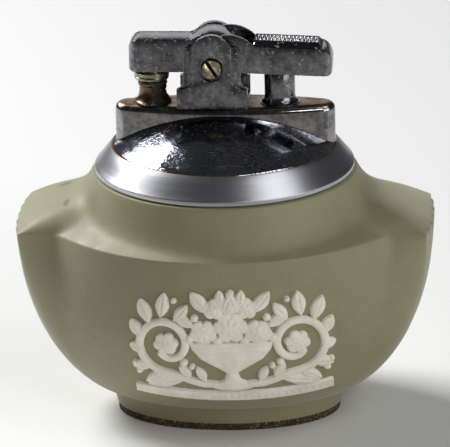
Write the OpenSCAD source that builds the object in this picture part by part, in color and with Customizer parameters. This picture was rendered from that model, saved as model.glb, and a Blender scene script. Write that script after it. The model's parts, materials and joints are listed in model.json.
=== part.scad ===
// Press-lever table lighter: a chromed drop-in lighter unit in a matt stoneware jar.
// Millimetres. Z is up, the underside of the pad is Z = 0, and the front faces -Y.

/* [Jar] */
// Half width of the jar at the corners of its two ears
ear_reach = 46.6; // [44:0.1:50]
// How far each ear end bulges past its corners
ear_bulge = 1.3; // [0.5:0.1:2]
// Half depth of each ear at its end
ear_half_d = 15.2; // [12:0.1:18]
// Half width of the oval bowl that the ears grow out of
bowl_half_w = 40; // [37:0.1:42]
// Half depth of the jar at its sharp shoulder edge
bowl_half_d = 34.7; // [33:0.1:37]
// Height of the bowl, from the foot's crease to the shoulder edge
bowl_h = 40.6; // [38:0.1:44]
// Height of the shoulder, from its edge to the top of the neck
shoulder_h = 11.4; // [9:0.1:13]
// Radius of the neck under the collar
neck_r = 30.4; // [30.2:0.1:32]
// Half width of the foot at its crease
foot_half_w = 27; // [25:0.1:29]
// Half depth of the foot at its crease
foot_half_d = 18.6; // [17:0.1:22]
// Height of the foot
foot_h = 4.2; // [3:0.1:6]
// How far the foot tapers in at its rim
foot_taper = 1.1; // [0.5:0.1:2]
// Wall of the jar at its front and back
jar_wall = 4.5; // [3.5:0.1:6]
// Thickness of the jar's floor over the foot
jar_floor = 4.6; // [3:0.1:6]
// Thickness of the felt pad
pad_h = 1.7; // [1:0.1:3]
// How far the pad's edge lies inside the foot's rim
pad_inset = 0.2; // [0.1:0.1:1]

/* [Relief] */
// Width of the applied relief
relief_w = 47; // [40:0.5:50]
// Height of the applied relief
relief_h = 30; // [24:0.5:31]
// Height of the relief's lower edge over the foot's crease
relief_lift = 5; // [4:0.5:6]
// Sideways place of the relief's middle
relief_x = 3; // [0:0.5:4]
// Height of the relief's raised forms
relief_rise = 1.1; // [0.7:0.1:1.6]
// Depth that the relief is let into the jar
relief_sink = 0.6; // [0.4:0.1:1]

/* [Collar and plate] */
// Outer radius of the bevelled collar
collar_r = 29.7; // [28.5:0.1:30.1]
// Height of the collar
collar_h = 6.2; // [6:0.1:8]
// Height of the collar's rounded lower lip
collar_lip = 1.4; // [1:0.1:2]
// Radius of the domed plate
plate_r = 25.4; // [25:0.1:26.5]
// Height of the dome over its edge
dome_rise = 8.3; // [7:0.1:8.3]
// Thickness of the domed plate
plate_t = 0.9; // [0.7:0.1:1.2]
// Height of the plate's rim in the collar
plate_rim_h = 1.1; // [0.9:0.1:1.5]
// Inner radius of the socket liner
liner_r = 21.9; // [21.6:0.1:22.4]
// Wall of the socket liner
liner_t = 0.6; // [0.4:0.1:0.8]
// Depth of the socket liner below the neck's top
liner_depth = 18; // [12:1:24]

/* [Deck and tank] */
// Sideways place of the deck's middle
deck_x = 0.4; // [0:0.1:0.6]
// Half length of the deck
deck_half_w = 25.1; // [24.8:0.1:25.2]
// Half depth of the oval deck
deck_half_d = 6.5; // [6.2:0.1:7.5]
// Radius of the deck's two ends
deck_end_r = 3.5; // [3.2:0.1:4.5]
// Height of the deck over the plate's edge
deck_h = 9.6; // [9.6:0.1:11]
// Radius of the deck's rounded top edge
deck_edge_r = 1.6; // [1:0.1:1.8]
// Thickness of the deck's top
deck_t = 1; // [0.8:0.1:1.5]
// Wall of the deck
deck_wall = 0.8; // [0.6:0.1:1]
// Outer radius of the fuel tank
tank_r = 21.2; // [20:0.1:21.4]
// Wall of the fuel tank
tank_wall = 0.7; // [0.5:0.1:1]
// Depth of the tank below the plate's edge
tank_depth = 35; // [30:0.5:38]
// Thickness of the tank's base
tank_base_t = 1.2; // [1:0.1:2]

/* [Wick and flint] */
// Sideways place of the wick tube
wick_x = -16.2; // [-16.6:0.1:-15.6]
// Height of the wick tube over the deck
wick_tube_h = 5.3; // [5:0.1:5.4]
// Outer radius of the wick tube at its waist
wick_tube_r = 2.9; // [2.7:0.1:3.1]
// Bore radius of the wick tube
wick_bore_r = 2.2; // [2:0.05:2.3]
// Bore radius of the flint tube
flint_bore_r = 1.5; // [1.45:0.05:1.7]
// Wall of the flint tube
flint_tube_t = 0.7; // [0.5:0.05:0.8]
// Length of the flint
flint_l = 5; // [3:0.5:6]
// Radius of the spark wheel
wheel_r = 5; // [4.8:0.05:5.2]
// Half width of the spark wheel
wheel_half_w = 1.5; // [1.2:0.1:1.6]
// Teeth on the spark wheel
wheel_teeth = 30; // [20:1:36]
// Teeth on the ratchet wheel
ratchet_teeth = 10; // [8:1:12]

/* [Frame and pivot] */
// Sideways place of the pivot
pivot_x = -2.1; // [-2.6:0.1:-1.6]
// Height of the pivot over the deck
pivot_h = 9.3; // [9.2:0.1:9.6]
// Radius of the pivot sleeve
sleeve_r = 2.2; // [2.1:0.05:2.4]
// Radius of the pivot screw's shank
screw_r = 1.4; // [1.2:0.05:1.45]
// Radius of the pivot screw's head
screw_head_r = 2.5; // [2:0.05:2.6]
// Height of the cheeks over the deck
cheek_h = 17.3; // [17.2:0.1:18]
// Half width of the cheeks beside the pivot
cheek_half_w = 6.5; // [6.4:0.1:7]
// Half width of the cheeks at their base
cheek_base_half_w = 8; // [7.5:0.1:8.5]
// Half width of the raised panel on each cheek
panel_half_w = 4.4; // [4:0.1:5]
// Radius of the panel's arched top
panel_arch_r = 5.2; // [5.1:0.1:7]
// Thickness of a cheek's edge strips
strip_t = 0.8; // [0.6:0.1:1]
// Thickness of the panel over the strips
panel_t = 0.9; // [0.9:0.1:1.2]

/* [Snuffer arm] */
// Reach of the snuffer arm from the pivot
arm_reach = 19.1; // [18.8:0.1:20]
// Height of the arm's top over the pivot
arm_top = 6.2; // [5.8:0.1:6.3]
// Depth of the arm's lower edge below the pivot
arm_drop = 1.35; // [1.1:0.05:1.5]
// Half depth of the arm
arm_half_d = 3.7; // [3.6:0.05:3.9]
// Wall of the arm
arm_wall = 0.8; // [0.6:0.05:0.9]
// Radius of the arm's arched hub cover
hub_cover_r = 7.9; // [7.8:0.05:8.1]
// Radius of the arm's ears round the pivot
ear_r = 6; // [5.6:0.05:6.2]
// Radius of the snuffer cap
cap_r = 4.03; // [3.8:0.05:4.3]
// Height of the snuffer cap
cap_h = 2.35; // [2:0.05:2.4]
// Radius of the seal in the cap
seal_r = 2.7; // [2.5:0.05:3]
// Travel of the snuffer cap in the arm
cap_travel = 0.4; // [0.2:0.05:0.5]
// Height of the arm's guide plate over the pivot
guide_h = 1; // [0.8:0.1:1.4]

/* [Thumb lever] */
// Reach of the thumb lever from the pivot
lever_reach = 27.2; // [26.8:0.1:27.5]
// Height of the lever's top over the pivot
lever_top = 5.3; // [5.1:0.05:5.5]
// Depth of the lever's lower edge below the pivot
lever_drop = 1; // [0.8:0.05:1.1]
// Droop of the lever at rest, in degrees
lever_droop = 2.4; // [2:0.1:2.6]
// Wall of the lever's side ears
lever_wall = 0.7; // [0.5:0.05:0.8]
// Thickness of the lever's top web
lever_web_t = 0.8; // [0.6:0.05:0.9]
// Start of the lever's top web, out from the pivot
web_start = 9.4; // [9.2:0.1:10]
// Radius of the lever's rounded ears
lever_ear_r = 7.8; // [7.5:0.05:8]
// Length of the thumb pad
thumb_pad_l = 15.2; // [13:0.1:15.4]
// Half width of the thumb pad at its foot
thumb_pad_half_w = 4; // [3.4:0.1:4.2]
// Height of the thumb pad
thumb_pad_h = 1.1; // [0.8:0.05:1.4]

/* [Return spring] */
// Sideways place of the spring post
post_x = 12.95; // [12.4:0.05:13.4]
// Outer radius of the spring post
post_r = 3.5; // [3.3:0.05:3.6]
// Bore radius of the spring post
post_bore_r = 2.4; // [2.3:0.05:2.5]
// Height of the spring post over the deck
post_h = 7.5; // [7:0.1:7.7]
// Depth of the spring post below the deck
post_depth = 7.7; // [7:0.1:9]
// Radius of the plunger
plunger_r = 2.3; // [2.2:0.05:2.35]
// Length of the plunger under its round tip
plunger_l = 6; // [5:0.1:7]
// Turns of the return spring
plunger_turns = 8; // [6:1:9]
// Wire radius of the return spring
plunger_wire_r = 0.25; // [0.2:0.01:0.3]
// Turns of the flint spring
flint_turns = 26; // [20:1:30]
// Wire radius of the flint spring
flint_wire_r = 0.17; // [0.12:0.01:0.2]

/* [Clearances] */
// Radial clearance of turning fits
run_gap = 0.05; // [0.03:0.01:0.08]
// Side clearance between pieces that move past each other
side_gap = 0.1; // [0.06:0.01:0.12]
// Gap between a piece and what it is seated on
seat_gap = 0.05; // [0.02:0.01:0.08]

/* [Hidden] */
$fn = 96;

// Heights, worked out from the bottom up
crease_z = pad_h + foot_h;
ridge_z = crease_z + bowl_h;
neck_z = ridge_z + shoulder_h;
plate_z = neck_z + collar_h;
deck_z = plate_z + deck_h;
pivot_z = deck_z + pivot_h;
tank_z = plate_z - tank_depth;

// Jar: how its sections round in from the shoulder edge to the foot
bowl_round = 2.3;
bowl_power = 0.63;
blend_power = 6;
oval_power = 2.1;
oval_onset = 0.75;
foot_blend = 0.94;
sweep_steps = 14;
end_steps = 5;
quarter_steps = sweep_steps + end_steps;
bowl_steps = 11;
shoulder_steps = 7;

function bowl_fall(z) = min(1, max(0, (ridge_z - z) / bowl_h));
function bowl_law(z) = pow(max(0, 1 - pow(bowl_fall(z), bowl_round)), bowl_power);
function foot_share(z) = max(0, (crease_z - z) / foot_h);
function jar_half_w(z) =
    foot_half_w + (ear_reach - foot_half_w) * bowl_law(z) - foot_taper * foot_share(z);
function jar_half_d(z) =
    foot_half_d + (bowl_half_d - foot_half_d) * bowl_law(z) - foot_taper * foot_share(z);
function bowl_depth(x) = bowl_half_d * sqrt(max(0, 1 - pow(x / bowl_half_w, 2)));
function eared_depth(x) =
    pow(pow(bowl_depth(x), blend_power) + pow(ear_half_d, blend_power), 1 / blend_power);
function eared_share(u) = eared_depth(u * ear_reach) / eared_depth(0);
function oval_share(u) = pow(max(0, 1 - pow(u, oval_power)), 1 / oval_power);
function oval_mix(z) = foot_blend * pow(bowl_fall(z), oval_onset);
function depth_share(u, z) =
    let (m = oval_mix(z)) (1 - m) * eared_share(u) + m * oval_share(u);
function front_depth(x, z) =
    jar_half_d(z) * depth_share(min(1, abs(x) / jar_half_w(z)), z);

// One quarter of a jar section, from its front middle to its side middle
function quarter_point(i, z) =
    let (w = jar_half_w(z), d = jar_half_d(z))
    i <= sweep_steps
        ? let (u = sin(90 * i / sweep_steps)) [w * u, d * depth_share(u, z)]
        : let (k = (i - sweep_steps) / end_steps, end_d = d * depth_share(1, z))
          [w + ear_bulge * (1 - pow(1 - k, 2.5)) * end_d / ear_half_d, end_d * (1 - k)];
function mirror_quarters(q, n) = concat(
    [for (i = [0 : n - 1]) [q[i][0], -q[i][1]]],
    [for (i = [n : -1 : 1]) [q[i][0], q[i][1]]],
    [for (i = [0 : n - 1]) [-q[i][0], q[i][1]]],
    [for (i = [n : -1 : 1]) [-q[i][0], -q[i][1]]]
);
function section_loop(z) =
    mirror_quarters([for (i = [0 : quarter_steps]) quarter_point(i, z)], quarter_steps);
function section_ring(z) = [for (p = section_loop(z)) [p[0], p[1], z]];

// Shoulder: a hollow cove under the neck that runs out to the sharp edge, where its corners start
crown_h = 5.9;
cove_power = 2.4;
cove_ear_power = 5.4;
soften_angle = 7;
ridge_quarter = [for (i = [0 : quarter_steps]) quarter_point(i, ridge_z)];
ridge_far = [for (p = ridge_quarter) norm(p)];
ridge_angle = [for (p = ridge_quarter) atan2(p[1], p[0])];
ridge_span = [for (i = [0 : quarter_steps])
    ridge_angle[max(0, i - 1)] - ridge_angle[min(quarter_steps, i + 1)]];
function sum(list) = list * [for (v = list) 1];
// Reach of the edge at point i, evened out over the angle spread on both sides of it
function soft_far(i, spread) =
    let (weights = [for (j = [0 : quarter_steps])
        let (a = ridge_angle[i], b = ridge_angle[j])
        ridge_span[j] * (exp(-pow((a - b) / spread, 2)) + exp(-pow((a + b) / spread, 2))
            + exp(-pow((180 - a - b) / spread, 2)))])
    weights * ridge_far / sum(weights);
function shoulder_point(i, s) =
    let (
        far = soft_far(i, soften_angle * pow(1 - s, 0.6)),
        gap_share = (far - neck_r) / (ear_reach + ear_bulge - neck_r),
        crown = crown_h * gap_share,
        steep = cove_power + cove_ear_power * gap_share,
        r = neck_r + (far - neck_r) * s,
        z = ridge_z + crown * (1 - s * s) + (shoulder_h - crown) * pow(1 - s, steep)
    )
    [ridge_quarter[i][0] * r / ridge_far[i], ridge_quarter[i][1] * r / ridge_far[i], z];
function shoulder_ring(s) =
    let (q = [for (i = [0 : quarter_steps]) shoulder_point(i, s)], n = quarter_steps)
    concat(
        [for (i = [0 : n - 1]) [q[i][0], -q[i][1], q[i][2]]],
        [for (i = [n : -1 : 1]) q[i]],
        [for (i = [0 : n - 1]) [-q[i][0], q[i][1], q[i][2]]],
        [for (i = [n : -1 : 1]) [-q[i][0], -q[i][1], q[i][2]]]
    );

// Closes a stack of equal rings into one solid
module ring_stack(rings) {
    n = len(rings[0]);
    last = len(rings) - 1;
    polyhedron(
        points = [for (ring = rings) for (p = ring) p],
        faces = concat(
            [[for (i = [0 : n - 1]) i]],
            [for (k = [0 : last - 1]) for (i = [0 : n - 1])
                let (j = (i + 1) % n) [k * n + i, k * n + n + i, k * n + n + j]],
            [for (k = [0 : last - 1]) for (i = [0 : n - 1])
                let (j = (i + 1) % n) [k * n + i, k * n + n + j, k * n + j]],
            [[for (i = [n - 1 : -1 : 0]) last * n + i]]
        )
    );
}

// Ledges and bores that the pieces share
socket_r = liner_r + liner_t;
ledge_z = plate_z - plate_rim_h - seat_gap;
collar_bore_r = plate_r + side_gap;
flange_r = socket_r + 3.5;
flange_t = 0.6;

module ceramic_body() {
    color([0.58, 0.57, 0.45])
    difference() {
        ring_stack(concat(
            [section_ring(pad_h)],
            [for (k = [0 : bowl_steps]) section_ring(crease_z + bowl_h * sin(90 * k / bowl_steps))],
            [for (k = [1 : shoulder_steps]) shoulder_ring(1 - k / shoulder_steps)]
        ));
        jar_well();
    }
}

// Round well: straight through the neck, then as wide as the wall allows
well_floor_z = crease_z + jar_floor;
well_top_z = ridge_z - 1;
module jar_well() {
    steps = 10;
    rotate_extrude()
        polygon(concat(
            [[0, well_floor_z]],
            [for (k = [0 : steps])
                let (z = well_floor_z + (well_top_z - well_floor_z) * k / steps)
                [jar_half_d(z) - jar_wall, z]],
            [[socket_r + run_gap, neck_z - liner_t - 5], [socket_r + run_gap, neck_z + 1],
             [0, neck_z + 1]]
        ));
}

// Relief: a footed bowl of flowers between leafy scrolls over a ground band, as a field of heights
relief_z = crease_z + relief_lift;
relief_cols = 56;
relief_rows = 36;
relief_bed = 0.5;
// Places and sizes as shares of the relief's height, on its right half
// Leaves: x, z, turn, length, half width
relief_leaves = [
    [0.36, 0.215, -14, 0.29, 0.055], [0.5, 0.27, -34, 0.19, 0.045], [0.6, 0.33, -12, 0.15, 0.05],
    [0.66, 0.44, 28, 0.12, 0.045], [0.675, 0.56, 62, 0.16, 0.048], [0.61, 0.69, 70, 0.2, 0.052],
    [0.52, 0.745, 98, 0.2, 0.052], [0.42, 0.72, 126, 0.17, 0.045], [0.2, 0.2, 62, 0.14, 0.035],
    [0.31, 0.24, 48, 0.13, 0.038], [0.07, 0.86, 84, 0.12, 0.04], [0.17, 0.8, 52, 0.2, 0.055],
    [0.27, 0.68, 28, 0.17, 0.045], [0.05, 0.8, 112, 0.17, 0.045]
];
// Flowers: x, z, radius
relief_flowers = [[0, 0.68, 0.13], [0.205, 0.63, 0.105], [0.12, 0.83, 0.085], [0.49, 0.52, 0.095]];
dish_profile = [[0, 0.125], [0.15, 0.13], [0.15, 0.165], [0.06, 0.215], [0.042, 0.28], [0.12, 0.33],
    [0.235, 0.4], [0.295, 0.48], [0.31, 0.525], [0.31, 0.55], [0, 0.555]];
stem_path = [[0.13, 0.165], [0.22, 0.168], [0.32, 0.2], [0.42, 0.245]];
stem_half = 0.03;
scroll_middle = [0.48, 0.505];
scroll_turn = 388;
scroll_steps = 14;
band_half = 0.04;

function bump(d) = d < 1 ? sqrt(1 - d * d) : -1;
function leaf_height(x, z, leaf) =
    let (
        c = cos(leaf[2]),
        s = sin(leaf[2]),
        a = ((x - leaf[0]) * c + (z - leaf[1]) * s) / leaf[3],
        b = ((z - leaf[1]) * c - (x - leaf[0]) * s) / leaf[4]
    )
    a <= 0.02 || a >= 0.98 ? -1 : bump(abs(b) / pow(sin(180 * a), 0.75));
function flower_height(x, z, flower) =
    let (d = norm([x - flower[0], z - flower[1]]) / flower[2]) d < 1 ? 0.45 + 0.6 * bump(d) : -1;
function scroll_point(t) =
    let (a = scroll_turn * t - 80, r = min(0.215, 0.25 - 0.17 * t))
    scroll_middle + [r * cos(a), 1.12 * r * sin(a)];
scroll_path = concat(stem_path, [for (k = [0 : scroll_steps]) scroll_point(k / scroll_steps)]);
function line_gap(p, a, b) =
    let (t = max(0, min(1, (p - a) * (b - a) / ((b - a) * (b - a))))) norm(p - a - t * (b - a));
function scroll_height(x, z) =
    0.75 * bump(min([for (k = [1 : len(scroll_path) - 1])
        line_gap([x, z], scroll_path[k - 1], scroll_path[k])]) / stem_half);
dish_lookup = [for (p = dish_profile) [p[1], p[0]]];
function dish_height(x, z) =
    z <= dish_profile[0][1] || z >= dish_profile[len(dish_profile) - 1][1] ? -1
        : 1.15 * bump(x / max(0.001, lookup(z, dish_lookup)));
function band_height(x, z) =
    let (end = relief_w / relief_h / 2, dip = 0.05 * (1 - pow(x / end, 2)))
    x > 0.94 * end ? -1 : 0.7 * bump(abs(z + dip - 0.1) / band_half);
function relief_share(x, z) =
    let (u = abs(x) / relief_h, v = z / relief_h)
    max(concat(
        [scroll_height(u, v), dish_height(u, v), band_height(u, v)],
        [for (leaf = relief_leaves) leaf_height(u, v, leaf)],
        [for (flower = relief_flowers) flower_height(u, v, flower)]
    ));

// A point on the jar's front, lifted along the surface by the relief's height
function relief_point(x, z, lift) =
    let (
        e = 0.5,
        d = front_depth(x, z),
        slope_x = (front_depth(x + e, z) - front_depth(x - e, z)) / (2 * e),
        slope_z = (front_depth(x, z + e) - front_depth(x, z - e)) / (2 * e),
        n = [-slope_x, -1, -slope_z],
        m = [-slope_x, 1, -slope_z] / norm(n)
    )
    [x + m[0] * lift, -d - m[1] * lift, z + m[2] * lift];
function relief_lift_at(i, k, share) =
    i == 0 || k == 0 || i == relief_cols || k == relief_rows || share <= 0
        ? -relief_sink
        : relief_rise * min(1.15, 0.35 + 0.65 * share);
function relief_col_x(i) = relief_w * (i / relief_cols - 0.5);
function relief_row_z(k) = relief_h * k / relief_rows;
function relief_grid() = [
    for (k = [0 : relief_rows]) for (i = [0 : relief_cols])
        let (x = relief_col_x(i), z = relief_row_z(k))
        relief_point(x + relief_x, z + relief_z, relief_lift_at(i, k, relief_share(x, z)))
];
function relief_rim_point(i, n) =
    relief_point(relief_col_x(i % n) + relief_x, relief_row_z(floor(i / n)) + relief_z,
        -relief_sink - relief_bed);
module relief_solid() {
    n = relief_cols + 1;
    m = relief_rows + 1;
    edge = concat(
        [for (i = [0 : n - 2]) i],
        [for (k = [0 : m - 2]) k * n + n - 1],
        [for (i = [n - 1 : -1 : 1]) (m - 1) * n + i],
        [for (k = [m - 1 : -1 : 1]) k * n]
    );
    rim = n * m;
    turns = len(edge);
    middle = relief_point(relief_x, relief_z + relief_h / 2, -relief_sink - relief_bed);
    polyhedron(
        points = concat(relief_grid(), [for (i = edge) relief_rim_point(i, n)], [middle]),
        faces = concat(
            [for (k = [0 : m - 2]) for (i = [0 : n - 2])
                [k * n + i, k * n + n + i, k * n + i + 1]],
            [for (k = [0 : m - 2]) for (i = [0 : n - 2])
                [k * n + i + 1, k * n + n + i, k * n + n + i + 1]],
            [for (i = [0 : turns - 1]) [edge[i], edge[(i + 1) % turns], rim + (i + 1) % turns]],
            [for (i = [0 : turns - 1]) [edge[i], rim + (i + 1) % turns, rim + i]],
            [for (i = [0 : turns - 1]) [rim + i, rim + (i + 1) % turns, rim + turns]]
        )
    );
}

module relief_front() {
    color([0.86, 0.84, 0.78]) relief_solid();
}

module relief_back() {
    color([0.86, 0.84, 0.78]) rotate([0, 0, 180]) relief_solid();
}

module base_pad() {
    half_w = foot_half_w - foot_taper - pad_inset;
    half_d = foot_half_d - foot_taper - pad_inset;
    color([0.22, 0.17, 0.11])
    linear_extrude(pad_h)
        polygon([for (a = [0 : 5 : 355])
            [half_w * sign(cos(a)) * pow(abs(cos(a)), 2 / oval_power),
             half_d * sign(sin(a)) * pow(abs(sin(a)), 2 / oval_power)]]);
}

module collar_ring() {
    lip_r = 0.7;
    color([0.66, 0.67, 0.69])
    rotate_extrude()
        polygon(concat(
            [[socket_r + run_gap, neck_z + flange_t + seat_gap],
             [flange_r + run_gap, neck_z + flange_t + seat_gap],
             [flange_r + run_gap, neck_z]],
            [for (a = [-90 : 15 : 0])
                [collar_r - lip_r + lip_r * cos(a), neck_z + lip_r + lip_r * sin(a)]],
            [[collar_r, neck_z + collar_lip],
             [collar_bore_r + 0.2, plate_z], [collar_bore_r, plate_z],
             [collar_bore_r, ledge_z], [socket_r + run_gap, ledge_z]]
        ));
}

module socket_liner() {
    color([0.74, 0.66, 0.42])
    difference() {
        union() {
            translate([0, 0, neck_z - liner_depth])
                cylinder(r = socket_r, h = liner_depth + collar_h - plate_rim_h - 2 * seat_gap);
            translate([0, 0, neck_z]) cylinder(r = flange_r, h = flange_t);
        }
        translate([0, 0, neck_z - liner_depth - 1])
            cylinder(r = liner_r, h = liner_depth + collar_h + 2);
    }
}

// Dome: a cap of a sphere through the plate's edge
dome_r = (plate_r * plate_r + dome_rise * dome_rise) / (2 * dome_rise);
dome_z = plate_z + dome_rise - dome_r;
function dome_under(r) = dome_z + sqrt(pow(dome_r - plate_t, 2) - r * r);

wick_shank_r = wick_bore_r + 0.6;
flint_tube_r = flint_bore_r + flint_tube_t;
post_shank_r = post_bore_r + 0.6;

module upright(x, r, z0, z1) {
    translate([x, 0, z0]) cylinder(r = r, h = z1 - z0);
}

module tube_holes(z0, z1) {
    upright(wick_x, wick_shank_r + run_gap, z0, z1);
    upright(pivot_x, flint_tube_r + run_gap, z0, z1);
    upright(post_x, post_shank_r + run_gap, z0, z1);
}

module dome_plate() {
    color([0.62, 0.63, 0.66])
    difference() {
        intersection() {
            translate([0, 0, dome_z]) sphere(r = dome_r, $fn = 160);
            translate([0, 0, plate_z - plate_rim_h]) cylinder(r = plate_r, h = dome_rise + 3);
        }
        intersection() {
            translate([0, 0, dome_z]) sphere(r = dome_r - plate_t, $fn = 160);
            translate([0, 0, plate_z - plate_rim_h - 1]) cylinder(r = plate_r - 1.2, h = dome_rise + 3);
        }
        tube_holes(plate_z, deck_z);
    }
}

// Deck: two long arcs that run into small round ends
deck_mid = deck_half_w - deck_end_r;
deck_arc_r = (deck_mid * deck_mid + deck_half_d * deck_half_d - deck_end_r * deck_end_r)
    / (2 * (deck_half_d - deck_end_r));
deck_turn = atan2(deck_arc_r - deck_half_d, deck_mid);
function deck_quarter(inset) = concat(
    [for (k = [7 : -1 : 1]) let (a = deck_turn + (90 - deck_turn) * k / 7)
        [(deck_arc_r - inset) * cos(a),
         (deck_arc_r - inset) * sin(a) - (deck_arc_r - deck_half_d)]],
    [for (k = [8 : -1 : 0]) let (a = deck_turn * k / 8)
        [deck_mid + (deck_end_r - inset) * cos(a), (deck_end_r - inset) * sin(a)]]
);
module deck_outline(inset) {
    translate([deck_x, 0]) polygon(mirror_quarters(deck_quarter(inset), 15));
}

module deck() {
    low_z = plate_z - 1;
    side_z = deck_z - deck_edge_r;
    color([0.47, 0.45, 0.43])
    difference() {
        union() {
            translate([0, 0, low_z]) linear_extrude(side_z - low_z) deck_outline(0);
            hull()
                for (a = [0, 30, 60, 90])
                    translate([0, 0, side_z - 0.01 + deck_edge_r * sin(a)])
                        linear_extrude(0.01) deck_outline(deck_edge_r * (1 - cos(a)));
        }
        translate([0, 0, low_z - 1]) linear_extrude(deck_z - deck_t - low_z + 1)
            deck_outline(deck_wall);
        translate([0, 0, dome_z]) sphere(r = dome_r, $fn = 160);
        tube_holes(plate_z, deck_z + 1);
        rivet_shanks(deck_z - 3, deck_z + 1, run_gap);
    }
}

module fuel_tank() {
    top_z = dome_under(tank_r) - seat_gap;
    color([0.72, 0.66, 0.5])
    difference() {
        upright(0, tank_r, tank_z, top_z);
        upright(0, tank_r - tank_wall, tank_z - 1, top_z + 1);
    }
}

// Filler opening in the tank's base
filler_x = 10;
filler_r = 3;
filler_boss_r = 4.6;
filler_boss_h = 4;
screw_head_h = 1.4;
gasket_t = 0.5;
base_top_z = tank_z + tank_base_t;

module tank_base() {
    color([0.72, 0.66, 0.5])
    difference() {
        union() {
            upright(0, tank_r - tank_wall - run_gap, tank_z, base_top_z);
            upright(filler_x, filler_boss_r, tank_z, base_top_z + filler_boss_h);
        }
        upright(filler_x, filler_r + run_gap, tank_z - 1, base_top_z + filler_boss_h + 1);
        upright(pivot_x, flint_tube_r + run_gap, tank_z - 1, base_top_z + 1);
    }
}

module cotton_packing() {
    color([0.9, 0.88, 0.82])
    difference() {
        upright(0, tank_r - tank_wall - 0.3, base_top_z + 0.3, neck_z);
        upright(pivot_x, flint_tube_r + 0.3, base_top_z, neck_z + 1);
        upright(filler_x, filler_boss_r + 0.3, base_top_z, base_top_z + filler_boss_h + 0.3);
        upright(wick_x, wick_bore_r, neck_z - wick_sunk, neck_z + 1);
    }
}

wick_sunk = 12;
wick_r = wick_bore_r - 0.3;
wick_top_z = deck_z + wick_tube_h - 0.3;
module wick() {
    color([0.83, 0.78, 0.66]) upright(wick_x, wick_r, neck_z - wick_sunk + 0.1, wick_top_z);
}

module wick_tube() {
    lip_r = wick_tube_r + 0.3;
    foot_r = wick_tube_r + 1.5;
    flare = 3;
    color([0.36, 0.3, 0.24])
    translate([wick_x, 0, deck_z])
    rotate_extrude()
        polygon(concat(
            [[wick_bore_r, -post_depth], [wick_shank_r, -post_depth], [wick_shank_r, 0],
             [foot_r, 0], [foot_r, 0.3]],
            [for (k = [0 : 8])
                [foot_r - (foot_r - wick_tube_r) * sin(90 * k / 8),
                 0.3 + flare * (1 - cos(90 * k / 8))]],
            [[wick_tube_r, wick_tube_h - 1.3], [lip_r, wick_tube_h - 1], [lip_r, wick_tube_h - 0.2],
             [lip_r - 0.2, wick_tube_h], [wick_bore_r, wick_tube_h]]
        ));
}

// Flint: fed up its tube against the spark wheel
flint_r = flint_bore_r - run_gap;
flint_top_z = pivot_z - wheel_r - seat_gap;
pusher_h = 2.2;
pusher_z = flint_top_z - flint_l - seat_gap - pusher_h;
flint_screw_l = 4;
module flint_tube() {
    color([0.76, 0.66, 0.38])
    difference() {
        upright(pivot_x, flint_tube_r, tank_z, flint_top_z - 0.35);
        upright(pivot_x, flint_bore_r, tank_z - 1, flint_top_z + 1);
    }
}

module flint() {
    color([0.3, 0.3, 0.31]) upright(pivot_x, flint_r, flint_top_z - flint_l, flint_top_z);
}

module flint_pusher() {
    color([0.76, 0.66, 0.38]) {
        upright(pivot_x, flint_r, pusher_z, pusher_z + pusher_h);
        upright(pivot_x, 0.6, pusher_z - 3, pusher_z);
    }
}

// Wound spring: one unbroken tube of six sides that climbs at a steady rate
spring_rings = 8;
spring_sides = 6;
function spring_point(r, wire, h, turns, t, a) =
    let (turn = 360 * turns * t)
    [(r + wire * cos(a)) * cos(turn), (r + wire * cos(a)) * sin(turn), h * t + wire * sin(a)];
module wound_spring(r, wire, h, turns) {
    steps = spring_rings * turns;
    n = spring_sides;
    polyhedron(
        points = [for (k = [0 : steps]) for (i = [0 : n - 1])
            spring_point(r, wire, h, turns, k / steps, 360 * i / n)],
        faces = concat(
            [[for (i = [n - 1 : -1 : 0]) i]],
            [for (k = [0 : steps - 1]) for (i = [0 : n - 1])
                let (j = (i + 1) % n) [k * n + i, k * n + j, k * n + n + i]],
            [for (k = [0 : steps - 1]) for (i = [0 : n - 1])
                let (j = (i + 1) % n) [k * n + j, k * n + n + j, k * n + n + i]],
            [[for (i = [0 : n - 1]) steps * n + i]]
        )
    );
}
function spring_gap(h, turns, wire) = h / turns - 2 * wire;

flint_spring_z = tank_z + flint_screw_l + seat_gap + flint_wire_r;
flint_spring_h = pusher_z - seat_gap - flint_wire_r - flint_spring_z;
module flint_spring() {
    echo(flint_spring_gap = spring_gap(flint_spring_h, flint_turns, flint_wire_r));
    color([0.5, 0.5, 0.52])
    translate([pivot_x, 0, flint_spring_z])
        wound_spring(flint_bore_r - 0.3 - flint_wire_r, flint_wire_r, flint_spring_h, flint_turns);
}

// Everything on the pivot is drawn about it, and laid out front to back from the pivot's middle
arm_inner_d = arm_half_d - arm_wall;
lever_inner_d = arm_half_d + side_gap;
lever_half_d = lever_inner_d + lever_wall;
cheek_inner_d = lever_half_d + side_gap;
strip_d = cheek_inner_d + strip_t;
cheek_outer_d = strip_d + panel_t;
pivot_bore_r = sleeve_r + run_gap;

// Extrudes an X-Z outline, drawn about the pivot, from depth y0 to depth y1
module slab(y0, y1) {
    translate([pivot_x, y1, pivot_z]) rotate([90, 0, 0]) linear_extrude(y1 - y0) children();
}

module cross_bore(r, y0, y1) {
    slab(y0, y1) circle(r = r);
}

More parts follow.
